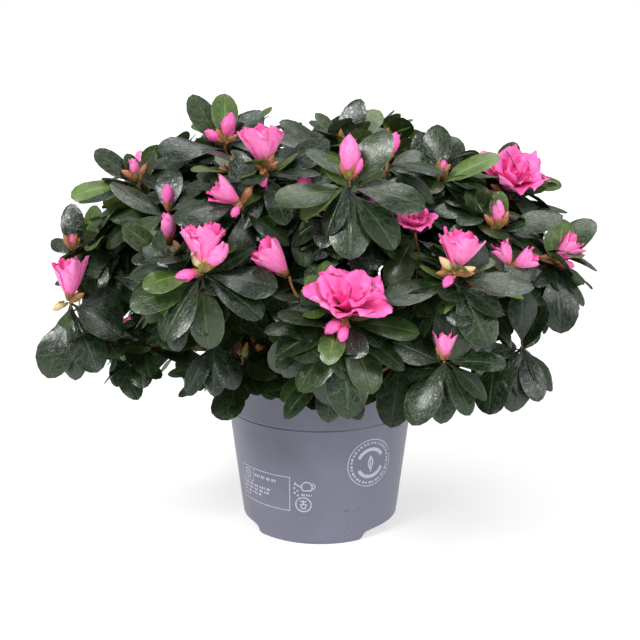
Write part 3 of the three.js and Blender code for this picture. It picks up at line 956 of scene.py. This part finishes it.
# The kinds of flower that a shoot may carry, each with the share of draws up to which it comes and
# its least and greatest size in mm.
FLOWER_ODDS = (
    ("open", 0.1, 38, 48),
    ("trumpet", 0.25, 24, 29),
    ("half", 0.37, 17, 24),
    ("pale", 0.47, 12, 19),
    ("bud", 0.58, 12, 19),
)

# Leaves that point higher than this count as upright, and flowers between these hours as hanging.
# Flowers lean towards the viewer by these shares.
UPRIGHT = 0.3
HANGING = (3.5, 8.5)
FORWARD = {"open": 0.75, "trumpet": 0.1, "half": 0.2, "hanging": 0.6, "other": 0.35}
HANGS_OUT = 6 * MM


def clock(hour, towards_viewer):
    angle = math.radians(hour * 30)
    return unit(RIGHT * math.sin(angle) + VIEW_UP * math.cos(angle) + VIEWER * towards_viewer)


def marks():
    return [len(piece.parts) for piece in PLANT_PIECES]


def keep_in_frame(since):
    """Moves what a shoot has added since some marks back within the frame's box."""
    added = [part for piece, mark in zip(PLANT_PIECES, since) for part in piece.parts[mark:]]
    if not added:
        return np.zeros(3)
    points = np.concatenate([part[1] for part in added])
    over = np.maximum(points.max(axis=0) - (cad_high + SPARE), 0)
    short = np.maximum((cad_low - SPARE) - points.min(axis=0), 0) * (1, 1, 0)
    shift = short - over
    for piece, mark in zip(PLANT_PIECES, since):
        for i in range(mark, len(piece.parts)):
            shape, points, *rest = piece.parts[i]
            piece.parts[i] = (shape, points + shift, *rest)
    return shift


def twig_to(start, tip, axis):
    """A twig from a limb's end to a shoot's tip, arriving along the shoot's axis."""
    span = np.linalg.norm(tip - start)
    if span > 3 * MM:
        line = bend(start, tip - axis * span * 0.5, tip, TWIG_RINGS)
        limb(twig_piece, line, np.linspace(*TWIG_RADII, TWIG_RINGS), 6, "twig", 0.06)


def leaves_down(line_start, tip, axis, count):
    """A few leaves along the twig below the shoot's tip."""
    bare = min(np.linalg.norm(tip - line_start) * 0.6, 26 * MM)
    for i in range(count):
        place = tip - axis * bare * (0.35 + 0.65 * (i + 1) / count)
        out = turned(axis, GOLDEN * i + between(-0.3, 0.3))
        along = unit(out + axis * between(-0.1, 0.35) + UP * between(-0.3, 0.1))
        face = square_to(axis + UP * 0.8, along)
        leaf(place + out * MM, along, face, between(24, 33) * MM, DARK_LEAVES[rng.integers(5)])


def front_leaf(word, tip, axis):
    """A leaf of a front shoot, from a word such as 8.5L or 12My."""
    tint = word[-1] if word[-1] in "ypb" else ""
    word = word.removesuffix(tint)
    hour, size = float(word[:-1]), word[-1]
    height = math.cos(math.radians(hour * 30))
    lean = between(0.05, 0.45) + 0.35 * (1 - abs(height)) * rng.random()
    if height > UPRIGHT:
        lean = between(-0.45, 0.35)
    if tint == "b":
        lean = -0.6
    along = clock(hour + between(-0.15, 0.15), lean)
    outlook = UP * (1.0 if height < UPRIGHT else 0.5) + VIEWER * between(0.15, 0.55)
    face = square_to(outlook + RIGHT * between(-0.25, 0.25) + axis * 0.2, along)
    finish = {"y": "leaf_young", "p": "leaf_pale"}.get(tint, DARK_LEAVES[rng.integers(5)])
    foot = tip - axis * between(0, 7) * MM + along * 1.0 * MM
    curl = between(0.15, 0.6) if height < UPRIGHT else between(-0.1, 0.4)
    leaf(foot, along, face, LEAF_SIZES[size] * between(0.95, 1.08), finish, curl, keep=True)


def front_flower(word, tip):
    """A flower of a front shoot, from a word such as trumpet@12:28: kind, hour and size in mm."""
    kind, rest = word.split("@")
    hour, size = (float(value) for value in rest.split(":"))
    hanging = HANGING[0] < hour < HANGING[1]
    along = clock(hour, FORWARD["hanging"] if hanging else FORWARD.get(kind, FORWARD["other"]))
    foot = tip + along * 2.0 * MM + VIEWER * (HANGS_OUT if hanging else 0)
    bloom(kind, foot, along, size * MM)


def front_shoot(mass, place, leaf_words, flower_words, spur):
    middle, half = MASSES["foliage_" + mass]
    tip = middle + half * place
    axis = unit(unit(tip - spur + UP * 0.01) * 0.25 + UP * 0.65 + VIEWER * 0.25)
    since = marks()
    for word in leaf_words.split():
        front_leaf(word, tip, axis)
    for word in flower_words.split():
        front_flower(word, tip)
    shift = keep_in_frame(since)
    if leaf_words:
        twig_to(spur, tip + shift, axis)


def rule_shoot(tip, axis, spur, leaf_count, flowering):
    """A shoot grown by rule: a rosette whose outer leaves spread and droop and whose inner leaves
    stand up, with or without flowers at its tip."""
    since = marks()
    turn = 2 * math.pi * rng.random()
    scale = between(0.85, 1.1)
    for i in range(leaf_count):
        share = i / max(leaf_count - 1, 1)
        out = turned(axis, turn + GOLDEN * i)
        spread = math.radians(100 - 62 * share**1.5 + between(-10, 10))
        along = unit(axis * math.cos(spread) + out * math.sin(spread) - UP * between(0.05, 0.4))
        face = square_to(axis * 0.8 + UP * 0.5, along)
        size = (between(30, 38) - 15 * max(0, share - 0.45)) * scale * MM
        young = share > 0.7 and rng.random() < 0.4 and tip[2] > YOUNG_LEAVES_ABOVE
        finish = "leaf_young" if young else DARK_LEAVES[rng.integers(5)]
        leaf(tip - axis * (1 - share) * 8 * MM + out * 1.0 * MM, along, face, size, finish)
    draw = rng.random()
    sprout = unit(axis + turned(axis, turn) * 0.15)
    for kind, below, least, most in FLOWER_ODDS if flowering else ():
        if draw < below:
            bloom(kind, tip, sprout, between(least, most) * MM)
            break
    count = 1 + int(3 * rng.random()) if draw < 0.6 else 0
    for i in range(count):
        out = turned(axis, turn + 2.1 * i)
        kind = SMALL_BUDS[rng.integers(4)]
        bloom(kind, tip + out * 1.5 * MM, unit(axis + out * 0.5), between(7, 10) * MM)
    shift = keep_in_frame(since)
    twig_to(spur, tip + shift, axis)
    leaves_down(spur, tip + shift, axis, 2)


def cone_of(outward, count, widest):
    """Directions spread evenly round an outward one, up to an angle from it."""
    turn = 2 * math.pi * rng.random()
    for i in range(count):
        angle = math.radians(widest) * math.sqrt((i + 0.4) / count)
        ring = turned(outward, turn + GOLDEN * i)
        yield unit(outward * math.cos(angle) + ring * math.sin(angle))


def grow_shoots(spurs):
    fronts = {row[0] for row in FRONT_SHOOTS}
    for mass, place, leaf_words, flower_words in FRONT_SHOOTS:
        front_shoot(mass, np.array(place), leaf_words, flower_words, spurs["foliage_" + mass])
    for name, (middle, half) in MASSES.items():
        outward = unit(middle - CROWN_CORE)
        low = "_low_" in name
        if name.replace("foliage_", "") in fronts:
            count = (0 if "front" in name else 1) if low else 6
            behind = unit(outward - VIEWER * 0.7 + UP * (0.5 if low else 0.0))
            ways = cone_of(behind, count, 95)
            reach, flowering = 0.3, False
        else:
            ways = cone_of(outward, 6 if low else 8, 85)
            reach, flowering = (0.42 if "_top_" in name else 0.55), True
        for way in ways:
            axis = unit(way * 0.45 + outward * 0.3 + UP * 0.4)
            tip = middle + way * half * reach
            rule_shoot(tip, axis, spurs[name], 10, flowering and tip[2] < FLOWERS_BELOW)
        for share in (0.35, 0.62, 0.82):
            inner = CROWN_CORE + (middle - CROWN_CORE) * share
            if inner[2] > INNER_SHOOTS_ABOVE:
                rule_shoot(inner, unit(outward * 0.4 + UP), inner - UP * 12 * MM, 9, False)


grow_stem()
SPURS = grow_boughs()
grow_shoots(SPURS)

leaves = [piece.build(MATERIALS) for piece in leaf_pieces]
for piece in (*petal_pieces, scale_piece, twig_piece):
    piece.build(MATERIALS)
boughs = bough_piece.build(MATERIALS)
stem_bark = stem_piece.build(MATERIALS)
for quarter, shown in enumerate(leaves):
    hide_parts(*[n for n, (middle, _) in MASSES.items() if quarter_of(middle) == quarter])
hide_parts(*BOUGHS)
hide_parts("stem")

# ---------------------------------------------------------------- pot

BAND_HEIGHT = 20.5 * MM
BAND_FOOT = 59.3 * MM
NECK_TOP = POT_TOP - BAND_HEIGHT
NECK = 58.3 * MM
FOOT = 48.8 * MM
WALL = 1.5 * MM
FLOOR = 2.5 * MM
LIP = 0.5 * MM
RIM_ROLL = 0.4 * MM
FOOT_BEVEL = 1.2 * MM
POT_SIDES = 240

# The two cut-backs of the lower corner: their azimuths, half their width in degrees and how gently
# they end, their height and inner radius, and the heights in mm of the rings that run through them.
CUT_BACKS = (80, 260)
CUT_HALF, CUT_EASE = 44, 13
CUT_HEIGHT, CUT_INNER = 6 * MM, 41 * MM
CUT_ROWS = [0.0, 0.4, 1.2, 2.4, 3.6, 4.8, 5.6, 6.0, 6.8]

# The fillet from the wall to the band's ledge: share of the ledge, and mm above the neck's top.
FILLET = [(0.0, -1.6), (-0.3, -1.1), (-0.4, -0.6), (-0.1, -0.35), (0.9, -0.25), (1.0, 0.1)]


def wall_radius(height):
    return FOOT + (NECK - FOOT) * height / NECK_TOP


def cut_share(azimuth):
    """1 inside the cut-backs of the pot's lower corner, 0 outside, eased at their ends."""
    offs = [abs((azimuth - middle + 180) % 360 - 180) for middle in CUT_BACKS]
    return eased(min(max((CUT_HALF - min(offs)) / CUT_EASE + 0.5, 0), 1))


def pot_profile():
    """Radius and height of each ring, from the underside's middle over the rim to the floor's
    middle. A ring without a radius runs through the cut-backs."""
    rim = RIM_RADIUS - WALL - RIM_ROLL
    corner = CUT_HEIGHT + WALL
    roll = [math.pi / 6 * step for step in (1, 2, 3)]
    return [
        (0.0, 0.0),
        (CUT_INNER * 0.5, 0.0),
        (CUT_INNER * 0.98, 0.0),
        *[(None, low * MM) for low in CUT_ROWS],
        *[(wall_radius(z), z) for z in np.linspace(10 * MM, NECK_TOP - 2.6 * MM, 10)],
        *[(NECK + (BAND_FOOT - NECK) * out, NECK_TOP + up * MM) for out, up in FILLET],
        (BAND_FOOT + 0.02 * MM, NECK_TOP + 1.5 * MM),
        (RIM_RADIUS - 0.05 * MM, POT_TOP - 3 * MM),
        (RIM_RADIUS, POT_TOP - 1.3 * LIP),
        *[(RIM_RADIUS - LIP * (1 - math.cos(a)), POT_TOP - LIP * (1 - math.sin(a))) for a in roll],
        (rim + 0.3 * MM, POT_TOP),
        (rim, POT_TOP - 0.35 * MM),
        (rim - 0.1 * MM, POT_TOP - 4 * MM),
        (BAND_FOOT - WALL - RIM_ROLL, NECK_TOP + 2 * MM),
        (NECK - WALL, NECK_TOP - 0.5 * MM),
        *[(wall_radius(z) - WALL, z) for z in np.linspace(NECK_TOP - 6 * MM, 9 * MM, 6)],
        (wall_radius(corner) - WALL, corner),
        (CUT_INNER - WALL, FLOOR),
        (0.0, FLOOR),
    ]


def cut_reach(height, share):
    """The wall's radius at a height in the lower corner, where it is cut back by a share."""
    slope = (wall_radius(CUT_HEIGHT) + 0.1 * MM - CUT_INNER) / CUT_HEIGHT
    full = wall_radius(height) - max(0, FOOT_BEVEL - height) * 0.8
    return full + (min(CUT_INNER + slope * height, full) - full) * share


def pot_mesh():
    azimuths = np.arange(POT_SIDES) * 360 / POT_SIDES
    shares = [cut_share(azimuth) for azimuth in azimuths]
    points, faces = [], []
    for radius, height in pot_profile()[1:-1]:
        for azimuth, share in zip(azimuths, shares):
            reach = cut_reach(height, share) if radius is None else radius
            points.append(compass(azimuth) * reach + UP * height)
    top = len(points) - POT_SIDES
    for a in range(0, top, POT_SIDES):
        b = a + POT_SIDES
        faces += [(a + j, a + k, b + k, b + j) for j, k in round_ring(POT_SIDES)]
    low, high = len(points), len(points) + 1
    points += [np.zeros(3), UP * FLOOR]
    for j, k in round_ring(POT_SIDES):
        faces += [(low, k, j), (top + j, top + k, high)]
    return plain_mesh("pot_wall", points, faces)


DRILL_RADIUS, DRILL_REACH, DRILL_OFFSET = 3 * MM, 7 * MM, 20
SMOOTH_BELOW = math.radians(38)


def drilled(mesh):
    """The pot with its drain holes bored through the sloping cut-backs."""
    drill = Ball(2, 24)
    tilt = math.atan2(CUT_HEIGHT, FOOT - CUT_INNER)
    points, faces = [], []
    for azimuth in [middle + offset for middle in CUT_BACKS for offset in (-DRILL_OFFSET, DRILL_OFFSET)]:
        out = compass(azimuth)
        centre = out * (FOOT + CUT_INNER) / 2 + UP * CUT_HEIGHT / 2
        axis = out * math.sin(tilt) - UP * math.cos(tilt)
        first = np.cross(UP, out)
        second = np.cross(axis, first)
        ring = np.cos(drill.turns)[:, None] * first + np.sin(drill.turns)[:, None] * second
        ends = [centre - axis * DRILL_REACH, centre + axis * DRILL_REACH]
        rings = np.array([end + ring * DRILL_RADIUS for end in ends])
        starts = np.cumsum(drill.sizes)[:-1]
        faces += [tuple(face.tolist()) for face in np.split(drill.corners + len(points), starts)]
        points += list(drill.points(rings, *ends))
    cutter = put("drill", plain_mesh("drill", points, faces))
    blank = put("blank", mesh)
    bore = blank.modifiers.new("bore", "BOOLEAN")
    bore.operation, bore.solver, bore.object = "DIFFERENCE", "EXACT", cutter
    done = settled(blank, "pot_wall_moulded")
    bpy.data.objects.remove(cutter)
    return done


def scuffs_on(finish, place):
    return finish.noise(place, 260.0, 4.0, 0.7, 1.0).between(0.48, 0.58)


def pot_finish():
    finish = Finish("pot_plastic", roughness=0.42)
    place = finish.place()
    east, north, height = finish.split(place)
    mottle = finish.noise(place, 16.0, 4.0)
    grain = finish.noise(place, 900.0, 2.0)
    rings = finish.noise(finish.stretched(place, (3.0, 3.0, 260.0)), 1.0, 2.0)
    scuff_place = finish.stretched(place, (90.0, 40.0, 330.0))
    scuffs = finish.noise(scuff_place, 1.0, 3.0, 0.7, 1.5).between(0.68, 0.76)
    low_down = height.between(34 * MM, 14 * MM)
    dust = finish.cells(place, 150.0, "F1").between(0.12, 0.05) * mottle.between(0.5, 0.62) * low_down
    # Painted shade: a darker strip on the wall just under the band's ledge, where the ledge shades it.
    painted_ledge_shade = height.between(NECK_TOP - 2.2 * MM, NECK_TOP - 1.0 * MM)
    painted_ledge_shade = painted_ledge_shade * height.between(NECK_TOP + 0.1 * MM, NECK_TOP - 0.3 * MM)

    def worn(x, z, wide, tall):
        """A worn spot on the pot's front, fading out from its middle."""
        reach = abs(east - x * MM) * (1 / (wide * MM)) + abs(height - z * MM) * (1 / (tall * MM))
        return reach.between(1.0, 0.5) * north.between(-10 * MM, -20 * MM)

    rubbed = worn(20, 22.5, 9, 1.6) * scuffs_on(finish, place)
    for x, z in ((17.5, 13.5), (22, 11.5), (26, 12.5), (17.5, 5.5)):
        rubbed = rubbed + worn(x, z, 0.7, 0.7)
    tone = finish.blend(mottle.between(0.3, 0.7), "#656575", "#707082")
    tone = finish.blend(scuffs * 0.25 * low_down, tone, "#4d4c55")
    tone = finish.blend(dust * 0.5, tone, "#8d8478")
    # Darkens the wall under the ledge with painted shade.
    tone = finish.blend(painted_ledge_shade * 0.2, tone, "#45444f")
    tone = finish.blend(rubbed.clip() * 0.7, tone, "#3b3a42")
    finish.feed("Base Color", tone)
    finish.feed("Roughness", 0.36 + mottle * 0.12 + scuffs * 0.12)
    finish.relief(grain * 0.4 + rings * 0.6, 0.05 * MM)
    return finish.material


def inner_finish():
    finish = Finish("pot_inside", roughness=0.6)
    place = finish.place()
    mottle = finish.noise(place, 22.0, 4.0)
    grain = finish.noise(place, 700.0)
    tone = finish.blend(mottle.between(0.35, 0.7), "#141416", "#1f1f22")
    finish.feed("Base Color", tone)
    finish.feed("Roughness", 0.5 + mottle * 0.2)
    finish.relief(grain, 0.05 * MM)
    return finish.material


def inner_face(polygon):
    """True for the faces of the pot's hollow, from its floor up to just under the lip."""
    centre, normal = polygon.center, polygon.normal
    inward = normal.x * centre.x + normal.y * centre.y < 0
    flat = normal.z > 0.6 and centre.z < POT_TOP - 2 * MM
    return (inward or flat) and 1.5 * MM < centre.z < POT_TOP - 0.2 * MM


pot_form = drilled(pot_mesh())
pot_form.polygons.foreach_set("use_smooth", [True] * len(pot_form.polygons))
pot_form.set_sharp_from_angle(angle=SMOOTH_BELOW)
pot_form.materials.clear()
pot_form.materials.append(pot_finish())
pot_form.materials.append(inner_finish())
for polygon in pot_form.polygons:
    polygon.material_index = int(inner_face(polygon))
pot_wall = show(pot_form, "pot")
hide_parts("pot")

# ---------------------------------------------------------------- printed marks on the pot

INK_UNDER = 0.05 * MM
INK_OVER = 0.09 * MM
FRAME_LINE, SIGN_LINE = 0.5 * MM, 0.8 * MM
RING_DASHES = 34
print_piece = Piece("printed_marks", "pot", ["ink"])
strips = {}


def on_wall(reach, height, proud):
    """A point on the pot's wall, reach metres round it from the front and at a height."""
    radius = wall_radius(height)
    return compass(math.degrees(reach / radius)) * (radius + proud) + UP * height


def ink_line(points, width):
    """A strip of ink of even width along a line of (reach, height) points on the wall."""
    points = np.array(points, float)
    ahead = np.gradient(points, axis=0)
    ahead /= np.linalg.norm(ahead, axis=1)[:, None]
    side = np.stack([ahead[:, 1], -ahead[:, 0]], axis=1) * width / 2
    count = len(points)
    shape = strips.setdefault(count, Slab(count, 3))
    lines = (points - side, points, points + side)
    over = np.array([[on_wall(*place, INK_OVER) for place in row] for row in zip(*lines)])
    under = np.array([[on_wall(*place, -INK_UNDER)] * 3 for place in points])
    strip = shape.points(over, under, over[0, 1], over[-1, 1])
    print_piece.add(shape, strip, shape.pattern(np.linspace(0, 1, count)), "ink")


def ink_stroke(start, end, width, count=8):
    share = np.linspace(0, 1, count)[:, None]
    ink_line(np.array(start) * (1 - share) + np.array(end) * share, width)


def ink_arc(centre, radius, start, end, width, count=None):
    steps = count or max(5, int(abs(end - start) / 9))
    angles = np.radians(np.linspace(start, end, steps))
    points = np.stack([np.cos(angles), np.sin(angles)], axis=1) * radius + np.array(centre)
    ink_line(points, width)


def ink_dashes(start, width, row_height, count, ragged):
    """A row of short bars that stands for a line of small print."""
    reach, height = start
    at = 0.0
    for i in range(count):
        dash = width / count * (0.55 + 0.3 * math.sin(2.7 * i + ragged))
        ink_stroke((reach + at, height), (reach + at + dash, height), row_height, 3)
        at += width / count


def round_wall(height, azimuth):
    """How far round the wall an azimuth is from the front, at a height in mm."""
    return wall_radius(height * MM) * math.radians(azimuth)


def print_label():
    """A label frame with a seal and rows of bars."""
    low, high = 22.6 * MM, 45.5 * MM
    left, right = round_wall(34, -64), round_wall(34, -20.5)
    split, shelf = left + (right - left) * 0.3, high - 9.5 * MM
    corners = [(left, high), (right, high), (right, low), (left, low), (left, high)]
    for start, end in zip(corners, corners[1:]):
        ink_stroke(start, end, FRAME_LINE)
    ink_stroke((split, high), (split, shelf), FRAME_LINE)
    ink_stroke((left, shelf), (split, shelf), FRAME_LINE)
    seal = (left + 6.3 * MM, high - 4.7 * MM)
    ink_arc(seal, 3.1 * MM, 0, 356, 0.7 * MM)
    ink_arc(seal, 1.3 * MM, 0, 350, 0.6 * MM)
    ink_dashes((split + 1.4 * MM, high - 4.2 * MM), 18 * MM, 1.9 * MM, 9, 0.4)
    rows = ((26, 12, 1.5), (24, 11, 1.5), (17, 8, 1.3), (6, 3, 1.3))
    for i, (width, count, tall) in enumerate(rows):
        start = (left + 2 * MM, high - (11.6 + 2.6 * i) * MM)
        ink_dashes(start, width * MM, tall * MM, count, i)


def print_care_signs():
    """Four drops, a watering can over a row of bars, and a pot with a sprout in a ring."""
    drop = round_wall(38, -17)
    for x, z in ((0, 0), (1.9, -1.6), (0.2, -3.2), (2.2, -4.8)):
        ink_arc((drop + x * MM, (38.6 + z) * MM), 0.4 * MM, 0, 340, 0.8 * MM, 7)
    can = round_wall(40, -8.6)
    ink_arc((can, 39.9 * MM), 3.3 * MM, -50, 235, SIGN_LINE)
    spout = [(-2.6, 37.4, 2.8, 37.4), (-3.0, 39.2, -7.4, 41.6), (-7.9, 40.6, -6.9, 42.7)]
    for x, z, to_x, to_z in spout:
        ink_stroke((can + x * MM, z * MM), (can + to_x * MM, to_z * MM), SIGN_LINE)
    ink_arc((can + 3.0 * MM, 40.3 * MM), 2.0 * MM, -80, 80, 0.7 * MM)
    ink_dashes((can - 3.4 * MM, 34.3 * MM), 7.4 * MM, 1.5 * MM, 5, 0.9)
    sign = np.array((round_wall(28, -11.2), 27.7 * MM))
    ink_arc(sign, 4.8 * MM, 0, 356, SIGN_LINE)
    box = [(-2.2, 0, 2.2, 0), (-1.7, -0.3, -1.1, -2.7), (-1.1, -2.7, 1.1, -2.7), (1.1, -2.7, 1.7, -0.3)]
    sprout = [(0, 0.2, 0, 3.0), (-1.9, 2.6, 0, 1.3), (1.9, 2.6, 0, 1.3)]
    for x, z, to_x, to_z in box + sprout:
        ink_stroke(np.array((x, z)) * MM + sign, np.array((to_x, to_z)) * MM + sign, 0.75 * MM)


def print_badge():
    """A ring with a row of dashes inside it, two broad arcs and a leaf."""
    reach, height = ring = (round_wall(53, 34), 53 * MM)
    ink_arc(ring, 15.7 * MM, 20, 372, 0.6 * MM)
    for i in range(RING_DASHES):
        turn = 360 * i / RING_DASHES
        ink_arc(ring, 13.4 * MM, turn, turn + 6.2 + 1.8 * math.sin(3.1 * i), 1.5 * MM, 3)
    for start in (25, 205):
        ink_arc(ring, 9.2 * MM, start, start + 130, 2.3 * MM)
    for start, shift in ((-50, -4.4), (130, 4.4)):
        ink_arc((reach + shift * MM, height), 6.0 * MM, start, start + 100, 1.0 * MM)
    ink_stroke((reach, height - 6.2 * MM), (reach, height + 3.4 * MM), SIGN_LINE)


def ink_finish():
    finish = Finish("ink", roughness=0.5)
    place = finish.place()
    wear = finish.noise(place, 420.0, 4.0, 0.65)
    tone = finish.blend(wear.between(0.55, 0.72), "#b7b5c9", "#8f8e9e")
    finish.feed("Base Color", tone)
    finish.feed("Roughness", 0.42 + wear * 0.2)
    return finish.material


print_label()
print_care_signs()
print_badge()
print_piece.build({"ink": ink_finish()})

# ---------------------------------------------------------------- compost

SOIL_EDGE = NECK - WALL + 0.2 * MM
SOIL_TOP = POT_TOP - 14 * MM
SOIL_DEPTH = 12 * MM
SOIL_RINGS, SOIL_SIDES = 30, 96
MOUND, MOUND_FLAT = 3 * MM, 17 * MM


def soil_mesh():
    """The compost's lumpy top, closed below by a flat underside inside the pot."""
    waves = [(rng.uniform(60, 420), rng.uniform(0, 6.28), rng.uniform(0, 6.28)) for _ in range(14)]
    ring = [compass(360 * j / SOIL_SIDES) for j in range(SOIL_SIDES)]
    points = []
    for i in range(1, SOIL_RINGS + 1):
        radius = SOIL_EDGE * i / SOIL_RINGS
        mound = MOUND * min(1, max(0, 1 - (radius - MOUND_FLAT) / (SOIL_EDGE - MOUND_FLAT)))
        for out in ring:
            x, y, _ = out * radius
            lump = sum(math.sin(k * x + a) * math.sin(k * y + b) / (k * 9) for k, a, b in waves)
            points.append((x, y, SOIL_TOP + (mound + lump if i < SOIL_RINGS else 0)))
    rim = len(points) - SOIL_SIDES
    faces = []
    for a in range(0, rim, SOIL_SIDES):
        b = a + SOIL_SIDES
        faces += [(b + j, b + k, a + k, a + j) for j, k in round_ring(SOIL_SIDES)]
    crown = len(points)
    start, base = crown + 1, crown + 1 + SOIL_SIDES
    points.append(UP * (SOIL_TOP + MOUND))
    points += [out * (SOIL_EDGE - 1.6 * MM) + UP * (SOIL_TOP - SOIL_DEPTH) for out in ring]
    points.append(UP * (SOIL_TOP - SOIL_DEPTH))
    faces += [(j, k, crown) for j, k in round_ring(SOIL_SIDES)]
    faces += [(start + j, start + k, rim + k, rim + j) for j, k in round_ring(SOIL_SIDES)]
    faces += [(base, start + k, start + j) for j, k in round_ring(SOIL_SIDES)]
    mesh = plain_mesh("compost", points, faces)
    mesh.polygons.foreach_set("use_smooth", [True] * len(faces))
    return mesh


def soil_finish(name, dark, light):
    finish = Finish(name, roughness=0.95)
    place = finish.place()
    lump = finish.noise(place, 160.0, 5.0, 0.65)
    fibre = finish.noise(finish.stretched(place, (1.0, 3.0, 1.0)), 500.0, 3.0)
    tone = finish.blend(lump.between(0.4, 0.7), dark, light)
    tone = finish.blend(fibre.between(0.62, 0.75) * 0.5, tone, "#5b4632")
    finish.feed("Base Color", tone)
    finish.relief(lump + fibre * 0.4, 0.8 * MM)
    return finish.material


CRUMBS = {"Density": 130000.0, "Smallest": 0.5 * MM, "Largest": 1.5 * MM}
FULL_TURN = 6.28


def crumb_tree(material):
    """Scatters crumbs over the compost: small many-sided balls of random size and turn."""
    tree = bpy.data.node_groups.new("compost_crumbs", "GeometryNodeTree")
    socket = tree.interface.new_socket
    socket("Geometry", in_out="INPUT", socket_type="NodeSocketGeometry")
    inputs = {
        label: socket(label, in_out="INPUT", socket_type="NodeSocketFloat").identifier
        for label in CRUMBS
    }
    socket("Geometry", in_out="OUTPUT", socket_type="NodeSocketGeometry")

    def add(kind, values=None, output=0, **settings):
        """A node with its settings and the values or links of its sockets; gives one output."""
        node = tree.nodes.new(kind)
        for key, value in settings.items():
            setattr(node, key, value)
        for key, value in (values or {}).items():
            if isinstance(value, bpy.types.NodeSocket):
                tree.links.new(value, node.inputs[key])
            else:
                node.inputs[key].default_value = value
        return node.outputs[output] if node.outputs else None

    given = tree.nodes.new("NodeGroupInput").outputs
    height = add("ShaderNodeSeparateXYZ", {0: add("GeometryNodeInputNormal")}, 2)
    facing = add("FunctionNodeCompare", {0: height, 1: 0.4}, operation="GREATER_THAN")
    bed = {"Mesh": given[0], "Selection": facing, "Density": given["Density"], "Seed": 5}
    places = add("GeometryNodeDistributePointsOnFaces", bed)
    crumb = add("GeometryNodeMeshIcoSphere", {"Radius": 1.0, "Subdivisions": 1})
    sizes = {"Min": given["Smallest"], "Max": given["Largest"], "Seed": 8}
    size = add("FunctionNodeRandomValue", sizes, 1)
    turns = {0: (0, 0, 0), 1: (FULL_TURN,) * 3, "Seed": 9}
    turn = add("FunctionNodeRandomValue", turns, data_type="FLOAT_VECTOR")
    strewn = {"Points": places, "Instance": crumb, "Rotation": turn, "Scale": size}
    real = add("GeometryNodeRealizeInstances", {0: add("GeometryNodeInstanceOnPoints", strewn)})
    dressed = add("GeometryNodeSetMaterial", {"Geometry": real, "Material": material})
    add("NodeGroupOutput", {0: dressed})
    return tree, inputs


def crumbs_on(mesh, material):
    bed = put("crumb_bed", mesh.copy())
    strew = bed.modifiers.new("strew", "NODES")
    strew.node_group, inputs = crumb_tree(material)
    for label, value in CRUMBS.items():
        strew[inputs[label]] = value
    return settled(bed, "compost_crumbs")


compost = soil_mesh()
crumb_mesh = crumbs_on(compost, soil_finish("crumb_peat", "#0f0b08", "#2c2119"))
compost.materials.append(soil_finish("compost_peat", "#0c0907", "#241b14"))
compost_bed = show(compost, "soil")
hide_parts("soil")
show(crumb_mesh, "soil")

# ---------------------------------------------------------------- floor, light and camera


WHITE = (1.0, 1.0, 1.0, 1.0)
FLOOR_HALF = 6.0
FLOOR_GLOW = 0.55
SKY_STRENGTH = 0.35

# Each lamp's name, where it stands from the plant, how wide it looks in degrees and its strength.
LAMPS = [
    ("key", (-0.7, -0.8, 1.0), 22, 2.3),
    ("fill", (0.9, -0.9, 0.7), 34, 1.2),
    ("over", (0.15, 0.4, 1.0), 40, 1.2),
]


def lay_floor():
    finish = Finish("floor_pale", roughness=0.9, emission_color=WHITE, emission_strength=FLOOR_GLOW)
    shade = finish.noise(finish.place(), 3.0)
    finish.feed("Base Color", finish.blend(shade.between(0.2, 0.8), "#c4c4c4", "#c8c8c8"))
    corners = [(x * FLOOR_HALF, y * FLOOR_HALF, 0) for x, y in ((-1, -1), (1, -1), (1, 1), (-1, 1))]
    floor = put("floor", plain_mesh("floor", corners, [(0, 1, 2, 3)]))
    floor.data.materials.append(finish.material)


def light_studio():
    """A soft pale sky that the camera sees as white, and three broad lamps."""
    world = bpy.data.worlds.new("studio")
    world.use_nodes = True
    nodes, links = world.node_tree.nodes, world.node_tree.links
    sky, backdrop = nodes["Background"], nodes.new("ShaderNodeBackground")
    for light in (sky, backdrop):
        light.inputs["Color"].default_value = WHITE
    sky.inputs["Strength"].default_value = SKY_STRENGTH
    mix = nodes.new("ShaderNodeMixShader")
    links.new(nodes.new("ShaderNodeLightPath").outputs["Is Camera Ray"], mix.inputs[0])
    links.new(sky.outputs[0], mix.inputs[1])
    links.new(backdrop.outputs[0], mix.inputs[2])
    links.new(mix.outputs[0], nodes["World Output"].inputs["Surface"])
    bpy.context.scene.world = world
    for name, towards, width, strength in LAMPS:
        lamp = bpy.data.lights.new(name, "SUN")
        lamp.angle, lamp.energy = math.radians(width), strength
        holder = put(name, lamp)
        holder.location = towards
        holder.rotation_euler = Vector(towards).to_track_quat("Z", "Y").to_euler()


CAMERA_DISTANCE = 0.85
CAMERA_AIM = Vector((0, 0, 0.131))
CAMERA_LENS = 76.05
SENSOR_WIDTH = 36

lay_floor()
light_studio()
camera = put("camera", bpy.data.cameras.new("camera"))
camera.data.lens, camera.data.sensor_width = CAMERA_LENS, SENSOR_WIDTH
camera.location = CAMERA_AIM + Vector(VIEWER) * CAMERA_DISTANCE
camera.rotation_euler = (-Vector(VIEWER)).to_track_quat("-Z", "Y").to_euler()
bpy.context.scene.camera = camera
bpy.context.scene.view_settings.view_transform = "Standard"
